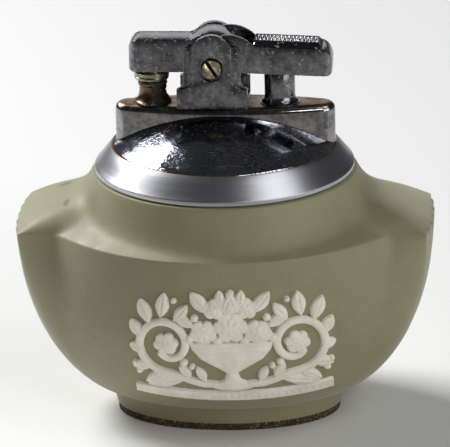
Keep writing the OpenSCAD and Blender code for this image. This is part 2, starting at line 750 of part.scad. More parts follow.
// Cheeks: a broad base that sweeps in to narrower strips, with an arched panel in front
cheek_low = -pivot_h;
cheek_high = cheek_h - pivot_h;
sweep_low = cheek_low + 4.6;
sweep_h = 1.9;
function sweep_side(half_low, half_high) = [
    for (k = [0 : 6])
        [half_low - (half_low - half_high) * sin(90 * k / 6), sweep_low + sweep_h * (1 - cos(90 * k / 6))]
];
function both_sides(side) = concat(
    side, [for (i = [len(side) - 1 : -1 : 0]) [-side[i][0], side[i][1]]]
);
strip_drop = 2.9;
strip_corner_r = 1.6;
module strip_outline() {
    shoulder = cheek_high - strip_drop;
    r = strip_corner_r;
    polygon(both_sides(concat(
        [[cheek_base_half_w, cheek_low]],
        sweep_side(cheek_base_half_w, cheek_half_w),
        [for (k = [0 : 4])
            [cheek_half_w - r * (1 - cos(90 * k / 4)), shoulder - r * (1 - sin(90 * k / 4))]]
    )));
}
module panel_outline() {
    arch_a = acos(panel_half_w / panel_arch_r);
    polygon(both_sides(concat(
        [[cheek_base_half_w, cheek_low]],
        sweep_side(cheek_base_half_w, panel_half_w),
        [for (k = [0 : 7]) let (a = arch_a + (90 - arch_a) * k / 7)
            [panel_arch_r * cos(a), cheek_high - panel_arch_r + panel_arch_r * sin(a)]]
    )));
}

module cheek(bore_r) {
    difference() {
        union() {
            slab(-strip_d, -cheek_inner_d) strip_outline();
            slab(-cheek_outer_d, -cheek_inner_d) panel_outline();
        }
        cross_bore(bore_r, -cheek_outer_d - 1, -cheek_inner_d + 1);
    }
}

head_recess_d = 1;
module front_cheek() {
    color([0.45, 0.45, 0.48])
    difference() {
        cheek(screw_r + run_gap);
        cross_bore(screw_head_r + 0.3, -cheek_outer_d - 1, -cheek_outer_d + head_recess_d);
    }
}

module rear_cheek() {
    color([0.45, 0.45, 0.48])
    mirror([0, 1, 0]) cheek(screw_r + run_gap);
}

floor_t = 1;
module frame_floor() {
    color([0.42, 0.38, 0.33])
    difference() {
        translate([pivot_x - cheek_base_half_w, -cheek_inner_d, deck_z])
            cube([2 * cheek_base_half_w, 2 * cheek_inner_d, floor_t]);
        upright(pivot_x, flint_tube_r + run_gap, deck_z - 1, deck_z + floor_t + 1);
        rivet_shanks(deck_z - 1, deck_z + floor_t + 1, run_gap);
    }
}

// Rivets of the frame floor: their heads above are high, and those under the deck are flat
rivet_r = 0.8;
rivet_reach = 6;
rivet_head_r = 1.3;
rivet_head_h = 0.5;
rivet_foot_h = 0.3;
module rivet_shanks(z0, z1, gap) {
    for (side = [-1, 1])
        upright(pivot_x + side * rivet_reach, rivet_r + gap, z0, z1);
}
module frame_rivets() {
    top_z = deck_z + floor_t;
    low_z = deck_z - deck_t;
    color([0.5, 0.45, 0.36]) {
        rivet_shanks(low_z, top_z, 0);
        for (x = [pivot_x - rivet_reach, pivot_x + rivet_reach]) {
            upright(x, rivet_head_r, top_z, top_z + rivet_head_h);
            upright(x, rivet_head_r, low_z - rivet_foot_h, low_z);
        }
    }
}

module pivot_sleeve() {
    color([0.6, 0.58, 0.52])
    difference() {
        cross_bore(sleeve_r, -cheek_inner_d, cheek_inner_d);
        cross_bore(screw_r + run_gap, -cheek_inner_d - 1, cheek_inner_d + 1);
    }
}

module pivot_screw() {
    head_h = 0.9;
    slot_w = 0.5;
    head_y = -cheek_outer_d + head_recess_d;
    color([0.66, 0.62, 0.5])
    difference() {
        union() {
            cross_bore(screw_r, head_y, cheek_outer_d - 0.1);
            translate([pivot_x, head_y, pivot_z]) rotate([90, 0, 0])
                cylinder(r1 = screw_head_r, r2 = screw_head_r - 0.35, h = head_h);
        }
        translate([pivot_x, head_y - head_h, pivot_z]) rotate([0, 58, 0])
            cube([3 * screw_head_r, 1, slot_w], center = true);
    }
}

// Snuffer arm: a hollow channel that swells into an arched cover over the spark wheel
fillet_r = 2;
fillet_z = arm_top + fillet_r;
fillet_x = -sqrt(pow(hub_cover_r + fillet_r, 2) - fillet_z * fillet_z);
arm_corner_r = 2.5;
arm_toe_r = 1;
module arm_beam(inset) {
    corner = arm_corner_r - inset;
    x0 = -arm_reach + inset;
    z1 = arm_top - inset;
    toe_z = arm_toe_r - arm_drop;
    translate([x0, toe_z]) square([-x0, z1 - corner - toe_z]);
    translate([x0 + arm_toe_r, -arm_drop]) square([-x0 - arm_toe_r, arm_toe_r]);
    translate([x0 + arm_toe_r, toe_z]) circle(r = arm_toe_r);
    translate([x0 + corner, -arm_drop]) square([-x0 - corner, z1 + arm_drop]);
    translate([x0 + corner, z1 - corner]) circle(r = corner);
}
module arm_side() {
    arm_beam(0);
    intersection() {
        circle(r = hub_cover_r);
        translate([-2 * hub_cover_r, -arm_drop]) square([4 * hub_cover_r, 2 * hub_cover_r]);
    }
    difference() {
        polygon([[fillet_x, 0], [fillet_x, fillet_z],
                 [fillet_x * hub_cover_r / (hub_cover_r + fillet_r),
                  fillet_z * hub_cover_r / (hub_cover_r + fillet_r)], [0, 0]]);
        translate([fillet_x, fillet_z]) circle(r = fillet_r);
    }
}
module arm_hollow() {
    translate([0, -0.01]) arm_beam(arm_wall);
    translate([-arm_reach + arm_wall, -2 * arm_drop]) square([arm_reach, 2 * arm_drop]);
    circle(r = hub_cover_r - arm_wall);
    translate([0, -hub_cover_r]) square([2 * hub_cover_r, 1.5 * hub_cover_r]);
}
module arm_plan() {
    r = 2.4;
    translate([-arm_reach + r, -arm_half_d]) square([arm_reach + 2 * hub_cover_r, 2 * arm_half_d]);
    translate([-arm_reach, -arm_half_d + r]) square([arm_reach, 2 * (arm_half_d - r)]);
    for (side = [-1, 1])
        translate([-arm_reach + r, side * (arm_half_d - r)]) circle(r = r);
}
// Guide in the arm: a floor that the cap's stem slides through
guide_z = pivot_z + guide_h;
guide_t = 0.8;
guide_half_l = 3.4;
cap_stem_r = 1;
module arm_guide() {
    x0 = pivot_x - arm_reach + arm_wall / 2;
    depth = arm_inner_d + arm_wall / 2;
    translate([x0, -depth, guide_z]) cube([wick_x + guide_half_l - x0, 2 * depth, guide_t]);
}
module snuffer_arm() {
    color([0.55, 0.55, 0.57])
    difference() {
        intersection() {
            union() {
                slab(-arm_inner_d, arm_inner_d) difference() {
                    arm_side();
                    arm_hollow();
                }
                for (side = [-1, 1])
                    slab(side * (arm_half_d + arm_inner_d) / 2 - arm_wall / 2,
                         side * (arm_half_d + arm_inner_d) / 2 + arm_wall / 2) {
                        arm_side();
                        circle(r = ear_r);
                    }
                arm_guide();
            }
            translate([pivot_x, 0, pivot_z - 2 * hub_cover_r])
                linear_extrude(4 * hub_cover_r) arm_plan();
        }
        cross_bore(pivot_bore_r, -arm_half_d - 1, arm_half_d + 1);
        upright(wick_x, cap_stem_r + run_gap, guide_z - 1, guide_z + guide_t + 1);
    }
}

// Snuffer cap: a shallow cup whose stem slides in the arm's guide, over the wick tube's mouth
cap_low_z = pivot_z - arm_drop - cap_h;
cap_disc_z = pivot_z - arm_drop - cap_travel - side_gap;
cap_neck_h = 1;
cap_taper = 0.35;
cap_roof_z = cap_disc_z - 0.5;
seal_low_z = deck_z + wick_tube_h + seat_gap + 0.05;
module snuffer_cap() {
    clip_t = 0.5;
    clip_r = 1.8;
    clip_z = guide_z + guide_t + seat_gap;
    color([0.72, 0.68, 0.58])
    difference() {
        union() {
            translate([wick_x, 0, cap_low_z])
                cylinder(r1 = cap_r - cap_taper, r2 = cap_r, h = cap_disc_z - cap_low_z);
            upright(wick_x, arm_inner_d - side_gap, cap_disc_z, cap_disc_z + cap_neck_h);
            upright(wick_x, cap_stem_r, cap_disc_z, clip_z + clip_t);
            upright(wick_x, clip_r, clip_z, clip_z + clip_t);
        }
        upright(wick_x, seal_r + 0.1, cap_low_z - 1, cap_roof_z);
    }
}

module snuffer_seal() {
    color([0.25, 0.2, 0.16]) upright(wick_x, seal_r, seal_low_z, cap_roof_z);
}

cap_wire_r = 0.15;
cap_turns = 3;
cap_spring_z = cap_disc_z + cap_neck_h + seat_gap + cap_wire_r;
cap_spring_h = guide_z - seat_gap - cap_wire_r - cap_spring_z;
module cap_spring() {
    echo(cap_spring_gap = spring_gap(cap_spring_h, cap_turns, cap_wire_r));
    color([0.5, 0.5, 0.52])
    translate([wick_x, 0, cap_spring_z])
        wound_spring(cap_stem_r + 0.3 + cap_wire_r, cap_wire_r, cap_spring_h, cap_turns);
}

// Spark wheel and ratchet turn with the snuffer arm on the power stroke
ratchet_r = 4.3;
ratchet_low_r = 3.7;
ratchet_y0 = wheel_half_w + seat_gap;
ratchet_y1 = arm_inner_d - side_gap;
module spark_wheel() {
    groove = 0.3;
    color([0.36, 0.35, 0.34])
    difference() {
        slab(-wheel_half_w, wheel_half_w)
            polygon([for (k = [0 : 2 * wheel_teeth - 1])
                let (r = wheel_r - groove * (k % 2), a = 180 * k / wheel_teeth)
                [r * cos(a), r * sin(a)]]);
        cross_bore(pivot_bore_r, -wheel_half_w - 1, wheel_half_w + 1);
    }
}

module ratchet_wheel() {
    color([0.48, 0.46, 0.42])
    difference() {
        slab(ratchet_y0, ratchet_y1)
            polygon([for (k = [0 : ratchet_teeth - 1]) for (edge = [0, 1])
                let (r = edge == 0 ? ratchet_low_r : ratchet_r, a = 360 * (k + 0.96 * edge) / ratchet_teeth)
                [r * cos(a), r * sin(a)]]);
        cross_bore(pivot_bore_r, ratchet_y0 - 1, ratchet_y1 + 1);
    }
}

// Pawl: a finger under the arm's cover whose tip stands just clear of the ratchet
pawl_tip_r = ratchet_r + side_gap;
pawl_turn = 118;
pawl_tail_r = hub_cover_r - arm_wall;
module drive_pawl() {
    color([0.5, 0.48, 0.44])
    slab(ratchet_y0, ratchet_y1)
        rotate(pawl_turn)
            polygon([[pawl_tip_r, -0.3], [pawl_tip_r, 0.3], [pawl_tail_r - 0.1, 1.2],
                     [pawl_tail_r - 0.1, -1.2]]);
}

// Thumb lever: a channel with rounded ears, drawn level and then let droop about the pivot
lever_ear_x = 3.7;
lever_end_r = 3.6;
lever_toe_r = 1;
module lever_beam(inset) {
    top_r = lever_end_r - inset;
    x1 = lever_reach - inset;
    z1 = lever_top - inset;
    translate([0, -lever_drop]) square([x1 - top_r, z1 + lever_drop]);
    translate([0, lever_toe_r - lever_drop]) square([x1, z1 - top_r + lever_drop - lever_toe_r]);
    translate([0, -lever_drop]) square([x1 - lever_toe_r, lever_toe_r]);
    intersection() {
        translate([x1 - top_r, z1 - top_r]) circle(r = top_r);
        translate([x1 - top_r, z1 - top_r]) square(top_r);
    }
    translate([x1 - lever_toe_r, lever_toe_r - lever_drop]) circle(r = lever_toe_r);
}
module lever_side() {
    lever_beam(0);
    intersection() {
        translate([lever_ear_x, 0]) circle(r = lever_ear_r);
        translate([-lever_ear_r, -lever_drop]) square([3 * lever_ear_r, 2 * lever_ear_r]);
    }
    circle(r = ear_r);
}
module lever_hollow() {
    z1 = lever_top - lever_web_t;
    x1 = lever_reach - lever_web_t;
    corner = lever_end_r - lever_web_t;
    translate([-lever_reach, -3 * lever_drop]) square([lever_reach + x1 - corner, z1 + 3 * lever_drop]);
    translate([0, -3 * lever_drop]) square([x1, z1 - corner + 3 * lever_drop]);
    translate([x1 - corner, z1 - corner]) circle(r = corner);
}
module lever_plan() {
    r = 2.2;
    far = lever_reach - r;
    translate([-2 * lever_ear_r, -lever_half_d]) square([far + 2 * lever_ear_r, 2 * lever_half_d]);
    translate([0, -lever_half_d + r]) square([lever_reach, 2 * (lever_half_d - r)]);
    for (side = [-1, 1])
        translate([far, side * (lever_half_d - r)]) circle(r = r);
}
module drooped() {
    translate([pivot_x, 0, pivot_z]) rotate([0, lever_droop, 0]) translate([-pivot_x, 0, -pivot_z])
        children();
}
module thumb_lever() {
    color([0.45, 0.45, 0.48])
    drooped()
    difference() {
        intersection() {
            union() {
                slab(-lever_inner_d, lever_inner_d) difference() {
                    translate([web_start, -lever_drop])
                        square([lever_reach - web_start, lever_top + lever_drop]);
                    lever_hollow();
                }
                for (side = [-1, 1])
                    slab(side * (lever_half_d + lever_inner_d) / 2 - lever_wall / 2,
                         side * (lever_half_d + lever_inner_d) / 2 + lever_wall / 2)
                        lever_side();
            }
            slab(-lever_half_d, lever_half_d) {
                lever_side();
            }
            translate([pivot_x, 0, pivot_z - 3 * lever_ear_r])
                linear_extrude(6 * lever_ear_r) lever_plan();
        }
        cross_bore(pivot_bore_r, -lever_half_d - 1, lever_half_d + 1);
    }
}

// Thumb pad: its sides slope in to a narrower top
pad_slope_x = 1;
pad_slope_y = 1.5;
module thumb_pad() {
    sheet = 0.1;
    color([0.6, 0.6, 0.63])
    drooped()
    translate([pivot_x + web_start + 0.2, 0, pivot_z + lever_top])
    hull() {
        translate([0, -thumb_pad_half_w, 0]) cube([thumb_pad_l, 2 * thumb_pad_half_w, sheet]);
        translate([pad_slope_x, pad_slope_y - thumb_pad_half_w, thumb_pad_h - sheet])
            cube([thumb_pad_l - 3 * pad_slope_x, 2 * (thumb_pad_half_w - pad_slope_y), sheet]);
    }
}

// Spring post: its plunger presses up under the lever's web
web_under = lever_top - lever_web_t;
post_out = post_x - pivot_x;
web_under_z = pivot_z - post_out * tan(lever_droop) + web_under / cos(lever_droop);
plunger_tip_z = web_under_z - (plunger_r + 0.08) / cos(lever_droop);
plunger_low_z = plunger_tip_z - plunger_l;
post_low_z = deck_z - post_depth;
post_floor_t = 1;
module spring_post() {
    foot_r = post_r + 1.1;
    flare = 1.8;
    color([0.5, 0.5, 0.52])
    difference() {
        union() {
            upright(post_x, post_shank_r, post_low_z, deck_z);
            translate([post_x, 0, deck_z])
            rotate_extrude()
                polygon(concat(
                    [[0, 0], [foot_r, 0]],
                    [for (k = [0 : 6])
                        [foot_r - (foot_r - post_r) * sin(90 * k / 6), 0.2 + flare * (1 - cos(90 * k / 6))]],
                    [[post_r, post_h], [0, post_h]]
                ));
        }
        upright(post_x, post_bore_r, post_low_z + post_floor_t, deck_z + post_h + 1);
    }
}

module plunger() {
    color([0.72, 0.68, 0.58]) {
        upright(post_x, plunger_r, plunger_low_z, plunger_tip_z);
        translate([post_x, 0, plunger_tip_z]) sphere(r = plunger_r);
    }
}

plunger_spring_z = post_low_z + post_floor_t + seat_gap + plunger_wire_r;
plunger_spring_h = plunger_low_z - seat_gap - plunger_wire_r - plunger_spring_z;
module plunger_spring() {
    echo(plunger_spring_gap = spring_gap(plunger_spring_h, plunger_turns, plunger_wire_r));
    color([0.5, 0.5, 0.52])
    translate([post_x, 0, plunger_spring_z])
        wound_spring(post_bore_r - 0.3 - plunger_wire_r, plunger_wire_r, plunger_spring_h,
            plunger_turns);
}

// Slotted screws in the tank's base
module slotted_head(x, r, z0) {
    slot = 0.7;
    difference() {
        upright(x, r, z0 - screw_head_h, z0);
        translate([x, 0, z0 - screw_head_h]) cube([3 * r, slot, 1.2], center = true);
    }
}

module filler_screw() {
    color([0.76, 0.66, 0.38]) {
        slotted_head(filler_x, filler_r + 1.2, tank_z - gasket_t);
        upright(filler_x, filler_r, tank_z - gasket_t, base_top_z + filler_boss_h - 0.5);
    }
}

module filler_gasket() {
    color([0.12, 0.12, 0.12])
    difference() {
        upright(filler_x, filler_r + 1.1, tank_z - gasket_t, tank_z - 0.02);
        upright(filler_x, filler_r + run_gap, tank_z - gasket_t - 1, tank_z + 1);
    }
}

module flint_screw() {
    color([0.76, 0.66, 0.38]) {
        slotted_head(pivot_x, flint_tube_r + 1, tank_z - seat_gap);
        upright(pivot_x, flint_bore_r - run_gap, tank_z - seat_gap, tank_z + flint_screw_l);
    }
}

ceramic_body();
relief_front();
relief_back();
base_pad();
collar_ring();
socket_liner();
dome_plate();
deck();
fuel_tank();
tank_base();
cotton_packing();
wick();
wick_tube();
flint_tube();
flint();
flint_pusher();
flint_spring();
front_cheek();
rear_cheek();
frame_floor();
frame_rivets();
pivot_sleeve();
pivot_screw();
spring_post();
plunger_spring();
plunger();
thumb_lever();
thumb_pad();
snuffer_arm();
snuffer_cap();
snuffer_seal();
cap_spring();
drive_pawl();
spark_wheel();
ratchet_wheel();
filler_screw();
filler_gasket();
flint_screw();
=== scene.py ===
import json
import math

import bmesh
import bpy
import numpy as np
from mathutils import Matrix, Vector


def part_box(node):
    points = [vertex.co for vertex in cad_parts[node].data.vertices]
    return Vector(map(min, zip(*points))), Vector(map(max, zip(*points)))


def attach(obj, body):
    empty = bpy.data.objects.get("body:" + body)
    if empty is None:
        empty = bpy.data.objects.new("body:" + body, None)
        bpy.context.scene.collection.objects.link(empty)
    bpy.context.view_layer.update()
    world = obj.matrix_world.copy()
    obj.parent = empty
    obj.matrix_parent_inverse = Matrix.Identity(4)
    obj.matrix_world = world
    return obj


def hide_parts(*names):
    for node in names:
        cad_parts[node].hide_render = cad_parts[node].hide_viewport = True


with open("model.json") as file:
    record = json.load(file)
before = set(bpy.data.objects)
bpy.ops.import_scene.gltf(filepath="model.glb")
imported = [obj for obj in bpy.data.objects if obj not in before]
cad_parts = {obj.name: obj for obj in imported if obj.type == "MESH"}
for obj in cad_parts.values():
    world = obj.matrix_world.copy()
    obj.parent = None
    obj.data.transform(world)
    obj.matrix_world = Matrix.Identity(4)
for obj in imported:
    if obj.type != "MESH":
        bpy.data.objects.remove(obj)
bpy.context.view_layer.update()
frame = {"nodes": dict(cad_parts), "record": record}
MM = 0.001

# Sizes in millimetres, as in the part's source
PAD_H, FOOT_H, BOWL_H, SHOULDER_H, COLLAR_H, DECK_H, PIVOT_H = 1.7, 4.2, 40.6, 11.4, 6.2, 9.6, 9.3
EAR_REACH, EAR_BULGE, EAR_HALF_D = 46.6, 1.3, 15.2
BOWL_HALF_W, BOWL_HALF_D = 40.0, 34.7
NECK_R, FOOT_HALF_W, FOOT_HALF_D, FOOT_TAPER = 30.4, 27.0, 18.6, 1.1
JAR_WALL, JAR_FLOOR = 4.5, 4.6
BOWL_ROUND, BOWL_POWER, BLEND_POWER, OVAL_POWER, FOOT_BLEND, OVAL_ONSET = 2.3, 0.63, 6.0, 2.1, 0.94, 0.75
CROWN_H, COVE_POWER, COVE_EAR_POWER, SOFTEN_ANGLE = 5.9, 2.4, 5.4, 7.0
CREASE_Z = PAD_H + FOOT_H
RIDGE_Z = CREASE_Z + BOWL_H
NECK_Z = RIDGE_Z + SHOULDER_H
PLATE_Z = NECK_Z + COLLAR_H
PLATE_R, DOME_RISE, PLATE_T, PLATE_RIM_H = 25.4, 8.3, 0.9, 1.1
DOME_R = (PLATE_R ** 2 + DOME_RISE ** 2) / (2 * DOME_RISE)
DOME_Z = PLATE_Z + DOME_RISE - DOME_R
DECK_Z = PLATE_Z + DECK_H
DECK_X, DECK_HALF_W, DECK_HALF_D, DECK_END_R = 0.4, 25.1, 6.5, 3.5
DECK_EDGE_R, DECK_T, DECK_WALL = 1.6, 1.0, 0.8
PIVOT = (-2.1, DECK_Z + PIVOT_H)
SOCKET_R = 22.5
RUN_GAP = 0.05
WICK_X, WICK_TUBE_H, WICK_TUBE_R, WICK_BORE_R, WICK_SHANK_R = -16.2, 5.3, 2.9, 2.2, 2.8
FLINT_TUBE_R = 2.2
WICK_SHANK_H = 7.6
RIVET_X, RIVET_R = 6, 0.85
POST_X, POST_R, POST_BORE_R, POST_H, POST_LOW = 12.95, 3.5, 2.4, 7.5, DECK_Z - 7.7
POST_SHANK_R = POST_BORE_R + 0.6
CAP_R, CAP_H, CAP_TAPER, ARM_DROP, CAP_TRAVEL, SEAL_R = 4.03, 2.35, 0.16, 1.35, 0.4, 2.7
LEVER_TOP, LEVER_DROOP = 5.3, 2.4
PAD_START, PAD_L, PAD_HALF_W, PAD_RISE, PAD_SLOPE = 9.0, 15.8, 4.0, 1.1, 1.5
SCREW_HEAD_R, SCREW_SLOT_TURN = 2.5, 58
TUBE_HOLES = [(WICK_X, WICK_SHANK_R + RUN_GAP), (PIVOT[0], FLINT_TUBE_R + RUN_GAP),
              (POST_X, POST_SHANK_R + RUN_GAP)]
RIVET_HOLES = [(PIVOT[0] - RIVET_X, RIVET_R), (PIVOT[0] + RIVET_X, RIVET_R)]

# Fine forms and mesh steps of the visible pieces
SWEEP_STEPS, END_STEPS = 64, 40
FOOT_RINGS, WALL_RINGS, EDGE_RINGS, SHOULDER_RINGS, WELL_RINGS = 5, 68, 8, 46, 24
FLUTES, FLUTE_DEPTH, FLUTE_FADE, FLUTE_WALL_POWER, FLUTE_TOP_POWER = 6, 0.34, 6.0, 1.5, 30
RIDGE_ROUND, RIDGE_STEP, SOFTEN_POWER, BULGE_POWER = 0.55, 0.03, 0.6, 2.5
SOCKET_SEAT_H = 5.6
DECK_FOOT_ROUND, DECK_FLAT = 0.12, 1.8
BEVEL_SEGMENTS, BEVEL_ANGLE, WORN_EDGE, FINE_EDGE = 3, 38, 0.2, 0.12
WELD_REACH, FLAT_ANGLE = 0.002, 0.6
FINE_TURN, SMALL_TURN, HOLE_TURN = 256, 144, 48
PYRAMID_PITCH, PYRAMID_DEPTH = 0.86, 0.42
# Waves round the wick tube's crust, waves up it and their share
CRUST_WAVES = ((3, 1.1, 0.4), (7, 2.6, 0.3), (13, 4.7, 0.2), (23, 8.3, 0.14), (37, 15.0, 0.08))

# Camera: the photograph's view, solved from the outlines
VIEW_ELEVATION = 19.02
VIEW_AZIMUTH = 4.32
VIEW_ROLL = 1.235
VIEW_DISTANCE = 1200 * MM
VIEW_TARGET = Vector((-0.21, 0, 44.15)) * MM
SENSOR_W = 36
PIXELS_PER_MM = 4.356
IMAGE_W = 450
NEAREST, FARTHEST = 0.05, 20


def add_object(name, data):
    thing = bpy.data.objects.new(name, data)
    bpy.context.collection.objects.link(thing)
    return thing


def add_camera():
    e, a, roll = (math.radians(v) for v in (VIEW_ELEVATION, VIEW_AZIMUTH, VIEW_ROLL))
    back = Vector((math.sin(a) * math.cos(e), -math.cos(a) * math.cos(e), math.sin(e)))
    level = Vector((math.cos(a), math.sin(a), 0))
    upright = level.cross(-back)
    right = level * math.cos(roll) - upright * math.sin(roll)
    up = level * math.sin(roll) + upright * math.cos(roll)
    data = bpy.data.cameras.new("view")
    data.sensor_fit = "HORIZONTAL"
    data.sensor_width = SENSOR_W
    data.lens = PIXELS_PER_MM * VIEW_DISTANCE / MM / IMAGE_W * SENSOR_W
    data.clip_start, data.clip_end = NEAREST, FARTHEST
    camera = add_object("view", data)
    camera.matrix_world = Matrix((right, up, back)).transposed().to_4x4()
    camera.location = VIEW_TARGET + back * VIEW_DISTANCE
    bpy.context.scene.camera = camera


# Shader helpers
def srgb(r, g, b):
    """A colour as it is read off a picture, 0 to 255, as linear light."""
    return tuple(
        v / 255 / 12.92 if v <= 10 else ((v / 255 + 0.055) / 1.055) ** 2.4 for v in (r, g, b)
    ) + (1,)


class Shader:
    """A material and short ways to add its nodes."""

    def __init__(self, name):
        self.material = bpy.data.materials.new(name)
        self.material.use_nodes = True
        self.tree = self.material.node_tree
        self.tree.nodes.clear()
        output = self.tree.nodes.new("ShaderNodeOutputMaterial")
        self.bsdf = self.tree.nodes.new("ShaderNodeBsdfPrincipled")
        self.tree.links.new(self.bsdf.outputs[0], output.inputs[0])
        self.place = self.tree.nodes.new("ShaderNodeTexCoord").outputs["Object"]

    def put(self, socket, value):
        if isinstance(value, bpy.types.NodeSocket):
            self.tree.links.new(value, socket)
        elif value is not None:
            socket.default_value = value

    def node(self, kind, values=(), **settings):
        n = self.tree.nodes.new(kind)
        for key, value in settings.items():
            setattr(n, key, value)
        for key, value in dict(values).items():
            self.put(n.inputs[key], value)
        return n

    def set(self, **values):
        for key, value in values.items():
            self.put(self.bsdf.inputs[key.replace("_", " ")], value)

    def math(self, operation, a, b=None):
        values = {0: a} if b is None else {0: a, 1: b}
        return self.node("ShaderNodeMath", values, operation=operation).outputs[0]

    def times(self, a, b):
        return self.math("MULTIPLY", a, b)

    def over(self, a, b):
        return self.math("DIVIDE", a, b)

    def plus(self, a, b):
        return self.math("ADD", a, b)

    def minus(self, a, b):
        return self.math("SUBTRACT", a, b)

    def largest(self, a, b):
        return self.math("MAXIMUM", a, b)

    def length(self, a, b):
        """The length of a line whose two legs are a and b."""
        return self.math("SQRT", self.plus(self.times(a, a), self.times(b, b)))

    def noise(self, size, vector=None, detail=3.0, rough=0.5):
        """Noise whose features are about size millimetres across, 0 to 1."""
        values = {"Vector": vector or self.place, "Scale": 1 / (size * MM), "Detail": detail,
                  "Roughness": rough}
        return self.node("ShaderNodeTexNoise", values).outputs[0]

    def ramp(self, value, low=0.3, high=0.7):
        """0 below low, 1 above high and smooth between. low may be the larger. Noise runs from 0.3 to 0.7."""
        n = self.node("ShaderNodeMapRange", {"Value": value, "From Min": low, "From Max": high},
                      interpolation_type="SMOOTHSTEP")
        return n.outputs[0]

    def mix(self, share, a, b):
        """The colour a where share is 0 and b where it is 1. Three plain numbers are a picture's colour."""
        a, b = (srgb(*c) if isinstance(c, tuple) else c for c in (a, b))
        return self.node("ShaderNodeMix", {0: share, 6: a, 7: b}, data_type="RGBA").outputs[2]

    def blend(self, share, a, b):
        """The number a where share is 0 and b where it is 1."""
        return self.node("ShaderNodeMix", {0: share, 2: a, 3: b}, data_type="FLOAT").outputs[0]

    def stretched(self, x, y, z, turn=(0, 0, 0)):
        """Coordinates scaled along each axis, so that a noise read there is drawn out."""
        values = {"Vector": self.place, "Scale": (x, y, z), "Rotation": tuple(map(math.radians, turn))}
        return self.node("ShaderNodeMapping", values).outputs[0]

    def split(self, vector=None):
        n = self.node("ShaderNodeSeparateXYZ", {0: vector or self.place})
        return n.outputs[0], n.outputs[1], n.outputs[2]

    def join(self, x, y, z):
        return self.node("ShaderNodeCombineXYZ", {0: x, 1: y, 2: z}).outputs[0]

    def ringed(self, centre_x, around, across, along):
        """Coordinates drawn out round a vertical axis, for lines that a lathe or a brush leaves."""
        x, y, z = self.split()
        x = self.minus(x, centre_x)
        far = self.length(x, y)
        safe = self.largest(far, 0.01 * MM)
        unit = MM * around
        return self.join(
            self.plus(self.times(self.over(x, safe), unit), self.times(far, across)),
            self.times(self.over(y, safe), unit),
            self.times(z, along),
        )

    def bump(self, height, depth):
        """Bump whose height runs over depth millimetres as height runs from 0 to 1."""
        values = {"Height": height, "Strength": 1.0, "Distance": depth * MM}
        return self.node("ShaderNodeBump", values).outputs[0]

    def surface(self, colour, rough, height, depth, **more):
        """Sets the surface, with a bump that runs over depth millimetres, and gives back the material."""
        self.set(Base_Color=colour, Roughness=rough, Normal=self.bump(height, depth), **more)
        return self.material

    def facing_up(self):
        """The surface's own normal, as its upward share."""
        normal = self.node("ShaderNodeNewGeometry").outputs["Normal"]
        return self.split(normal)[2]


def scratches(s, turns, width, length, share):
    """Thin straight scratches in several directions, 1 on a scratch."""
    total = None
    for k, turn in enumerate(turns):
        seen = s.stretched(1 / length, 1 / width, 0.3 / width, turn=(3 * k, 5 * k, turn))
        grain = s.noise(1, seen, detail=0.0)
        line = s.ramp(grain, 1 - share, 1 - share * 0.72)
        total = line if total is None else s.largest(total, line)
    patch = s.ramp(s.noise(5.0, detail=1.0), 0.42, 0.6)
    return s.times(total, patch)


def rubbed(s, centre, reach, edge):
    """A ragged mark seen in plan, 1 at its middle."""
    x, y, _ = s.split()
    across = s.over(s.minus(x, centre[0] * MM), reach[0] * MM)
    along = s.over(s.minus(y, centre[1] * MM), reach[1] * MM)
    return s.ramp(s.plus(s.length(across, along), edge), 1.5, 0.9)


# Materials
# x, y and half widths of the rubbed marks on the left ear
RUBBED_MARKS = (((-37.4, 6.2), (2.6, 1.5)), ((-35.7, -8.0), (1.1, 2.2)))
# Heights between which the rubbed marks and the wick's singeing set in
RUBBED_FROM_Z, RUBBED_FULL_Z = 40, 44
SINGE_FROM_Z, SINGE_FULL_Z = 77.5, 79
# Places beside the wick tube's middle where its soot and painted shade set in and where they are full
SOOT_AND_SHADE_FROM, SOOT_AND_SHADE_FULL = -1.0, 2.0


def stoneware():
    s = Shader("stoneware")
    cloud = s.noise(26, rough=0.55)
    mottle = s.noise(3.2, detail=4.0, rough=0.6)
    grain = s.noise(0.28, detail=2.0, rough=0.7)
    speck = s.ramp(s.noise(0.5, s.stretched(1, 1, 1, turn=(20, 40, 60)), detail=1.0), 0.73, 0.79)
    smudge = s.times(s.ramp(s.noise(7, detail=4.0, rough=0.65), 0.62, 0.78), 0.3)
    colour = s.mix(s.ramp(cloud), (135, 131, 99), (144, 140, 108))
    colour = s.mix(s.times(s.ramp(mottle, 0.35, 0.7), 0.3), colour, (153, 148, 116))
    colour = s.mix(s.times(s.ramp(grain, 0.3, 0.75), 0.35), colour, (116, 111, 81))
    colour = s.mix(smudge, colour, (104, 97, 73))
    colour = s.mix(s.times(speck, 0.45), colour, (78, 71, 52))
    _, _, z = s.split()
    ragged = s.times(s.noise(0.9), 1.2)
    marks = s.largest(*(rubbed(s, centre, reach, ragged) for centre, reach in RUBBED_MARKS))
    marks = s.times(marks, s.ramp(z, RUBBED_FROM_Z * MM, RUBBED_FULL_Z * MM))
    colour = s.mix(s.times(marks, 0.8), colour, (88, 76, 48))
    rough = s.blend(s.ramp(mottle), 0.5, 0.6)
    height = s.plus(s.times(grain, 0.6), s.times(mottle, 0.4))
    s.set(Specular_IOR_Level=0.5, Sheen_Weight=0.3, Sheen_Roughness=0.4)
    return s.surface(colour, rough, height, 0.045)


def bisque():
    s = Shader("bisque")
    grain = s.noise(0.22, detail=2.0, rough=0.6)
    cloud = s.noise(4.0)
    colour = s.mix(s.ramp(cloud, 0.35, 0.7), (226, 220, 206), (237, 232, 220))
    colour = s.mix(s.times(s.ramp(grain, 0.45, 0.8), 0.25), colour, (206, 199, 182))
    return s.surface(colour, s.blend(grain, 0.6, 0.74), grain, 0.03, Specular_IOR_Level=0.35)


